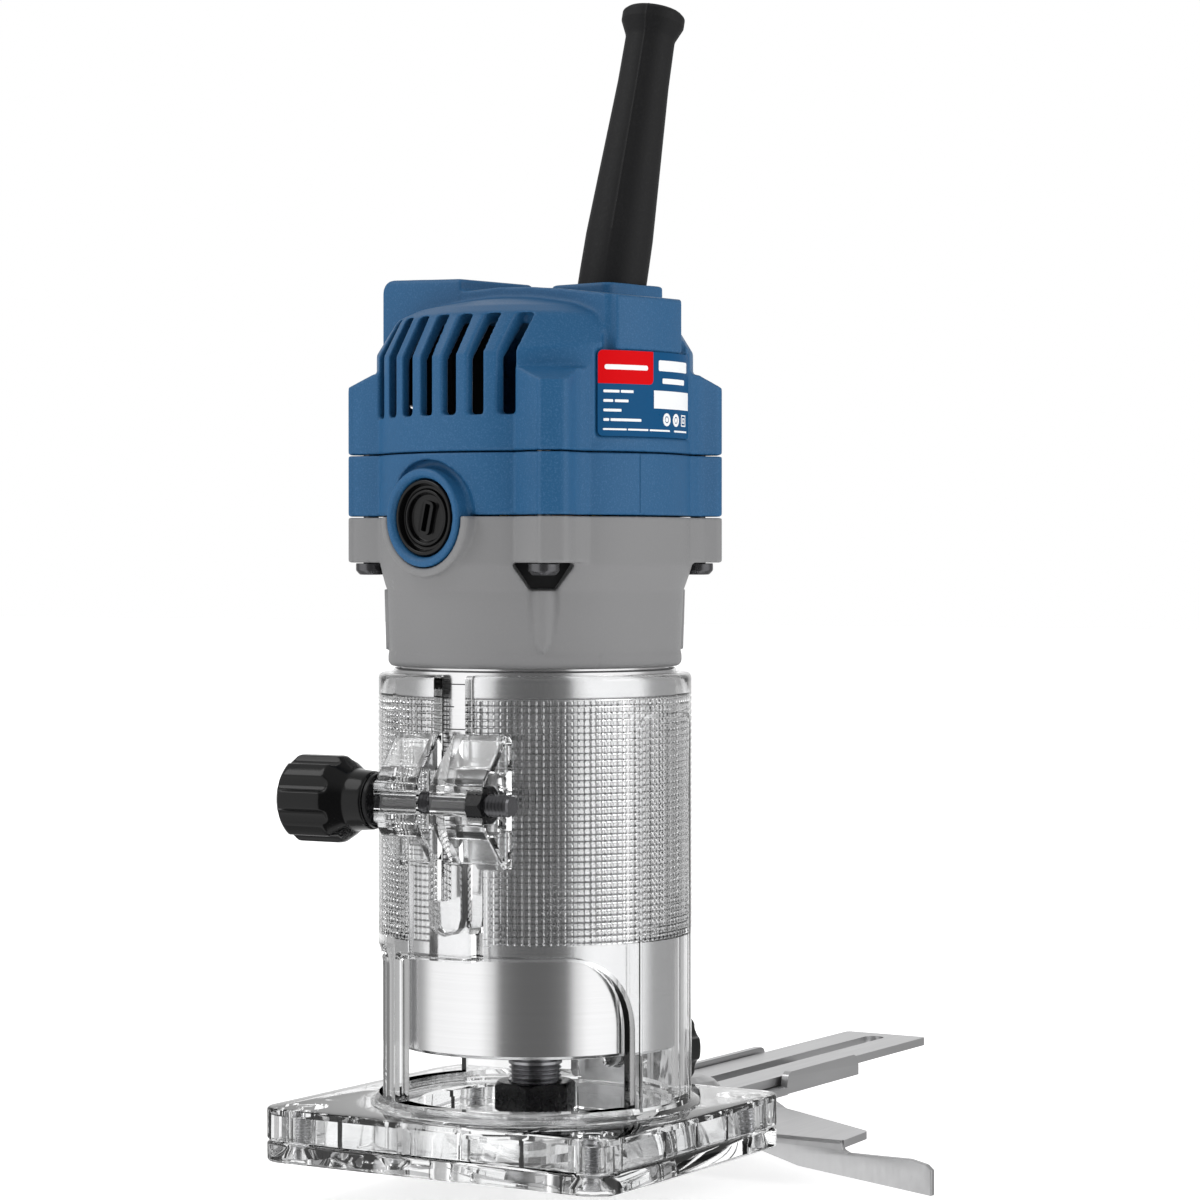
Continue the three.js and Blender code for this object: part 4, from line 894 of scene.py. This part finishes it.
def make_clamp():
    ax = ALONG_X(0, -43.0, 83.3)
    k = lathe(fillet([(0, -36.0), (8.3, -36.0, 1.0), (9.75, -34.6, 1.2), (9.75, -23.6, 1.4), (6.9, -19.4, 1.5), (6.45, -14.6, 0.5), (0, -14.6)], False, 5), 96, ax)
    for i in range(8):
        c = disc(2.2, -37.5, -22.4, 32, ax @ rot(45 * i + 22.5, "Z") @ mv(10.7, 0, 0))
        cut(k, c)
    melt(k, 0.3, 4)
    cut(k, disc(2.55, -29.4, 0, 32, ax))
    place(k, "clamp_hand_knob", "clamp_knob_body", BASE, GLOSS, ["clamp_knob"], sharp=45)
    s = lathe([(0, -29), (2.5, -29), (2.5, -14)] + threaded(-13.6, 21.2, 2.5, 0.9, 0.4)[1:], 48, ax)
    place(s, "clamp_stud", "clamp_knob_body", BASE, SCREW, ["clamp_screw"], sharp=25)
    w = lathe(fillet([(2.65, -14.4), (6.2, -14.4, 0.25), (6.2, -13.2, 0.25), (2.65, -13.2)], True) + [fillet([(2.65, -14.4), (6.2, -14.4, 0.25), (6.2, -13.2, 0.25), (2.65, -13.2)], True)[0]], 64, ax)
    place(w, "clamp_plain_washer", "clamp_carrier", BASE, BLACKOX, ["clamp_washer"], sharp=30)
    n = slab(polygon(6, 8.0 / math.sqrt(3), math.pi / 6, 0.3), 11.4, 15.4, ax)
    common(n, lathe([(0, 11.4), (4.1, 11.4), (4.7, 12.0), (4.7, 14.8), (4.1, 15.4), (0, 15.4)], 48, ax))
    cut(n, disc(2.64, 5, 20, 32, ax))
    place(n, "clamp_hex", "base", BASE, BLACKOX, ["clamp_nut"], sharp=25)


make_base()
make_clamp()


# ------------------------------------------------------------------ straight guide
def make_guide():
    arm = slab([(-12, 40.2), (12, 40.2), (12, 182, 1.5), (-12, 182, 1.5)], 4.1, 6.2)
    sl = [(2.75 * math.cos(t * math.pi / 12), 174 + 2.75 * math.sin(t * math.pi / 12)) for t in range(13)] + [(-2.75 * math.cos(t * math.pi / 12), 62 - 2.75 * math.sin(t * math.pi / 12)) for t in range(13)]
    cut(arm, slab(sl, 0, 10))
    leg = slab_x([(40.2, 4.1, 1.6), (43.0, 4.1), (43.0, 6.2), (42.2, 7.2, 1.0), (42.2, 27.5), (40.2, 27.5)], -12, 12)
    join(arm, leg)
    cut(arm, disc(3.0, 30, 50, 32, ALONG_Y(0, 0, 18)))
    bevel(arm, 0.3, 2, 35)
    place(arm, "guide_bar", "base", BASE, ZINC, ["guide_arm"], sharp=30)

    ky = ALONG_Y(0, 0, 18.0)
    s = lathe([(0, 34.0), (1.4, 34.0), (2.1, 34.8), (2.1, 39.85), (2.5, 40.3), (2.5, 50), (0, 50)], 32, ky)
    place(s, "guide_stud", "guide_knob_body", BASE, BLACKOX, ["guide_screw"], sharp=25)
    wp = fillet([(2.7, 42.6), (6.2, 42.6, 0.25), (6.2, 43.8, 0.25), (2.7, 43.8)], True)
    w = lathe(wp + [wp[0]], 48, ky)
    place(w, "guide_plain_washer", "guide_clamp_carrier", BASE, ZINC, ["guide_washer"], sharp=30)
    k = lathe(fillet([(0, 44.2), (7.0, 44.2, 0.4), (7.2, 47.2, 0.6), (11.2, 47.4, 0.8), (11.4, 57.9, 1.6), (9.6, 59.2, 0.8), (0, 59.2)], False, 5), 96, ky)
    for i in range(8):
        cut(k, disc(2.1, 48.4, 61, 24, ky @ rot(45 * i + 22.5, "Z") @ mv(12.2, 0, 0)))
    melt(k, 0.3, 4)
    cut(k, disc(2.55, 40, 50.3, 24, ky))
    place(k, "guide_hand_knob", "guide_knob_body", BASE, GLOSS, ["guide_knob"], sharp=45)

    T, CH1, P1 = 1.8, 3.8, 1.5
    CH0, P0 = CH1 - T, P1 - T
    side = [(44.4, P0), (80, P0, 1.5), (85.5, CH0, 1.5), (136, CH0), (136, CH1), (84.9, CH1, 1.5), (79.4, P1, 1.5), (44.4, P1)]
    strip = slab_x(side, -70, 70)
    plan = [(-57, 43), (57, 43), (57, 45.8, 2), (56, 59, 3), (15.2, 84.5, 4), (15.2, 95.5), (14.6, 96.3), (14.6, 136, 0.8), (-14.6, 136, 0.8), (-14.6, 96.3), (-15.2, 95.5), (-15.2, 84.5, 4), (-56, 59, 3), (-57, 45.8, 2)]
    common(strip, slab(plan, -5, 8))
    for s_ in (-1, 1):
        x0, x1 = (12.8, 14.6) if s_ > 0 else (-14.6, -12.8)
        join(strip, slab_x([(96.3, CH0), (136, CH0), (136, CH1 + 1, 0.6), (134.6, 7.0, 1.0), (133.2, 7.5, 1.0), (98.4, 7.5, 1.0), (96.9, 6.8, 1.0), (96.3, 4.6)], x0, x1))
    bevel(strip, 0.25, 2, 40)
    for s_ in (-1, 1):
        wing = [(s_ * 8, P1), (s_ * 56.6, P1, 0.3), (s_ * 57.2, -0.6, 0.4), (s_ * 58.6, -1.3, 0.8), (s_ * 74.5, -1.3, 4), (s_ * 78.6, -2.2, 1.5), (s_ * 80, -3.4, 0.6), (s_ * 80, -9.3), (s_ * 45.5, -5.4, 8), (s_ * 36.5, -2.9, 4), (s_ * 30, -1.2, 4), (s_ * 24, -0.5, 4), (s_ * 8, -0.5)]
        wv = slab_y(wing, 43.2, 45.0)
        bevel(wv, 0.22, 2, 50)
        join(strip, wv)
    join(strip, slab_y([(-10, P1), (10, P1), (10, -0.5), (-10, -0.5)], 43.2, 45.0))
    cut(strip, slab_x([(43, P1 + 0.1), (43, P1 - 1.0), (43.9, P1 + 0.1)], -70, 70), disc(2.75, -5, 10, 32, mv(0, 70, 0)))
    place(strip, "guide_plate", "guide_slider", BASE, ZINC, ["guide_fence"], sharp=30)

    A1 = 6.2
    b = lathe(fillet([(0, -7.4), (1.7, -7.4), (2.3, -6.8), (2.3, A1 + 0.05), (8.5, A1 + 0.05, 0.3), (8.5, A1 + 0.6, 0.3), (7.2, A1 + 1.9, 1.2), (4.4, A1 + 2.9, 2.5), (0, A1 + 3.2)], False), 64, mv(0, 70, 0))
    place(b, "guide_dome_bolt", body_of("guide_bolt"), BASE, ZINC, ["guide_bolt"], sharp=30)
    wn = tube(2.45, 4.6, P0 - 6.6, P0 - 1.2, 48, mv(0, 70, 0))
    for s_ in (-1, 1):
        wg = slab_y([(s_ * 3.6, P0 - 1.6), (s_ * 3.6, P0 - 5.4), (s_ * 8.6, P0 - 8.2, 2), (s_ * 12.4, P0 - 8.4, 1.5), (s_ * 13.2, P0 - 6.4, 1.5), (s_ * 10.4, P0 - 2.4, 2), (s_ * 7, P0 - 1.6)], -1.1, 1.1, mv(0, 70, 0))
        join(wn, wg)
    cut(wn, disc(2.45, -20, 5, 32, mv(0, 70, 0)))
    bevel(wn, 0.3, 2, 35)
    place(wn, "guide_wing_nut", "wing_nut_body", BASE, ZINC, ["wing_nut"], sharp=35)
    for node, name in (("guide_spacer", "guide_spacer_ring"), ("guide_nut_washer", "guide_under_washer")):
        r0, r1, z0, z1 = (2.9, 5.4, P1 + 0.05, 4.05) if node == "guide_spacer" else (2.6, 5.6, P0 - 1.1, P0 - 0.1)
        wp = fillet([(r0, z0), (r1, z0, 0.2), (r1, z1, 0.2), (r0, z1)], True)
        place(lathe(wp + [wp[0]], 48, mv(0, 70, 0)), name, body_of(node), BASE, ZINC, [node], sharp=30)


def body_of(node):
    """the body that a CAD node rides on"""
    o = frame["nodes"][node]
    while o is not None:
        for name, e in frame["bodies"].items():
            if o == e:
                return name
        o = o.parent
    return "base"


make_guide()

# carried-over CAD nodes
for _n, _m in {"field_core": DARK, "armature_core": DARK, "lower_bearing": STEEL, "upper_bearing": STEEL, "switch_body": CARBON,
               "commutator": COPPER, "fan": CARBON, "collet_cone": STEEL, "brush_holder_1": BRASS, "brush_holder_2": BRASS,
               "carbon_brush_1": CARBON, "carbon_brush_2": CARBON, "brush_spring_1": STEEL, "brush_spring_2": STEEL}.items():
    _o = frame["nodes"][_n]
    if not _o.material_slots:
        _o.data.materials.append(_m)
    for _s in _o.material_slots:
        _s.material = _m


# ------------------------------------------------------------------ floor, light, camera
fv = [(-6, -6, 0), (6, -6, 0), (6, 6, 0), (-6, 6, 0)]
floor = obj("studio_floor", [(x, y, -0.0006) for x, y, z in fv], [(0, 1, 2, 3)])
FLOOR = surface("pale_floor", (0.92, 0.92, 0.92), 0.8, grain=0.02, depth=0.0, vary=0.01, spec=0.0)
FLOOR.node_tree.nodes["Principled BSDF"].inputs["Emission Color"].default_value = (1, 1, 1, 1)
FLOOR.node_tree.nodes["Principled BSDF"].inputs["Emission Strength"].default_value = 0.62
floor.data.materials.append(FLOOR)
floor.visible_glossy = False
floor.visible_transmission = False

cam_data = bpy.data.cameras.new("camera")
cam_data.lens, cam_data.sensor_width = 104.60, 36.0
cam_data.clip_start, cam_data.clip_end = 0.05, 50
cam = bpy.data.objects.new("camera", cam_data)
SCENE.collection.objects.link(cam)
cam.location = AXIS + Vector((0.42585, -0.67950, 0.13678))
cam.rotation_euler = (math.radians(90 - 0.67), 0, math.radians(31.01))
SCENE.camera = cam

world = bpy.data.worlds.new("studio")
SCENE.world = world
world.use_nodes = True
wt = world.node_tree
bg = wt.nodes["Background"]
tc = wt.nodes.new("ShaderNodeTexCoord")
sep = wt.nodes.new("ShaderNodeSeparateXYZ")
wt.links.new(tc.outputs["Generated"], sep.inputs[0])
# how far round from the front of the set a direction lies: 1 in front, -1 behind
front = Vector((math.sin(math.radians(31.01)), -math.cos(math.radians(31.01)), 0))
dot = wt.nodes.new("ShaderNodeVectorMath")
dot.operation = "DOT_PRODUCT"
nrm = wt.nodes.new("ShaderNodeVectorMath")
nrm.operation = "NORMALIZE"
flat = wt.nodes.new("ShaderNodeVectorMath")
flat.operation = "MULTIPLY"
flat.inputs[1].default_value = (1, 1, 0)
wt.links.new(tc.outputs["Generated"], flat.inputs[0])
wt.links.new(flat.outputs[0], nrm.inputs[0])
wt.links.new(nrm.outputs[0], dot.inputs[0])
dot.inputs[1].default_value = front
half = wt.nodes.new("ShaderNodeMath")
half.operation = "MULTIPLY_ADD"
half.inputs[1].default_value, half.inputs[2].default_value = 0.5, 0.5
wt.links.new(dot.outputs["Value"], half.inputs[0])
ramp = wt.nodes.new("ShaderNodeValToRGB")
cr = ramp.color_ramp
cr.interpolation = "EASE"
stops = [(0.0, 1.0), (0.03, 1.0), (0.07, 0.42), (0.36, 0.50), (0.52, 1.35), (0.86, 1.45), (0.91, 1.1), (0.952, 0.24), (1.0, 0.17)]
while len(cr.elements) < len(stops):
    cr.elements.new(0.5)
for e, (p, v) in zip(cr.elements, stops):
    e.position = p
    e.color = (v, v, v, 1)
wt.links.new(half.outputs[0], ramp.inputs["Fac"])
up = wt.nodes.new("ShaderNodeMapRange")
up.inputs["From Min"].default_value, up.inputs["From Max"].default_value = 0.35, 0.75
wt.links.new(sep.outputs["Z"], up.inputs["Value"])
mixw = wt.nodes.new("ShaderNodeMix")
mixw.data_type = "RGBA"
wt.links.new(up.outputs["Result"], mixw.inputs["Factor"])
wt.links.new(ramp.outputs["Color"], mixw.inputs["A"])
mixw.inputs["B"].default_value = (0.66, 0.66, 0.66, 1)
wt.links.new(mixw.outputs["Result"], bg.inputs["Color"])
bg.inputs["Strength"].default_value = 1.0


def softbox(name, loc, target, size, power):
    ld = bpy.data.lights.new(name, "AREA")
    ld.shape, ld.size, ld.energy = "SQUARE", size, power
    o = bpy.data.objects.new(name, ld)
    SCENE.collection.objects.link(o)
    o.location = loc
    o.rotation_euler = (Vector(target) - Vector(loc)).to_track_quat("-Z", "Y").to_euler()
    return o


mid_pt = AXIS + Vector((0, 0, 0.14))
softbox("soft_top_left", mid_pt + Vector((-0.55, -0.45, 0.75)), mid_pt, 0.6, 3.2)
softbox("soft_right", mid_pt + Vector((0.9, 0.15, 0.35)), mid_pt, 0.5, 1.6)

SCENE.view_settings.view_transform = "Standard"
SCENE.view_settings.look = "None"
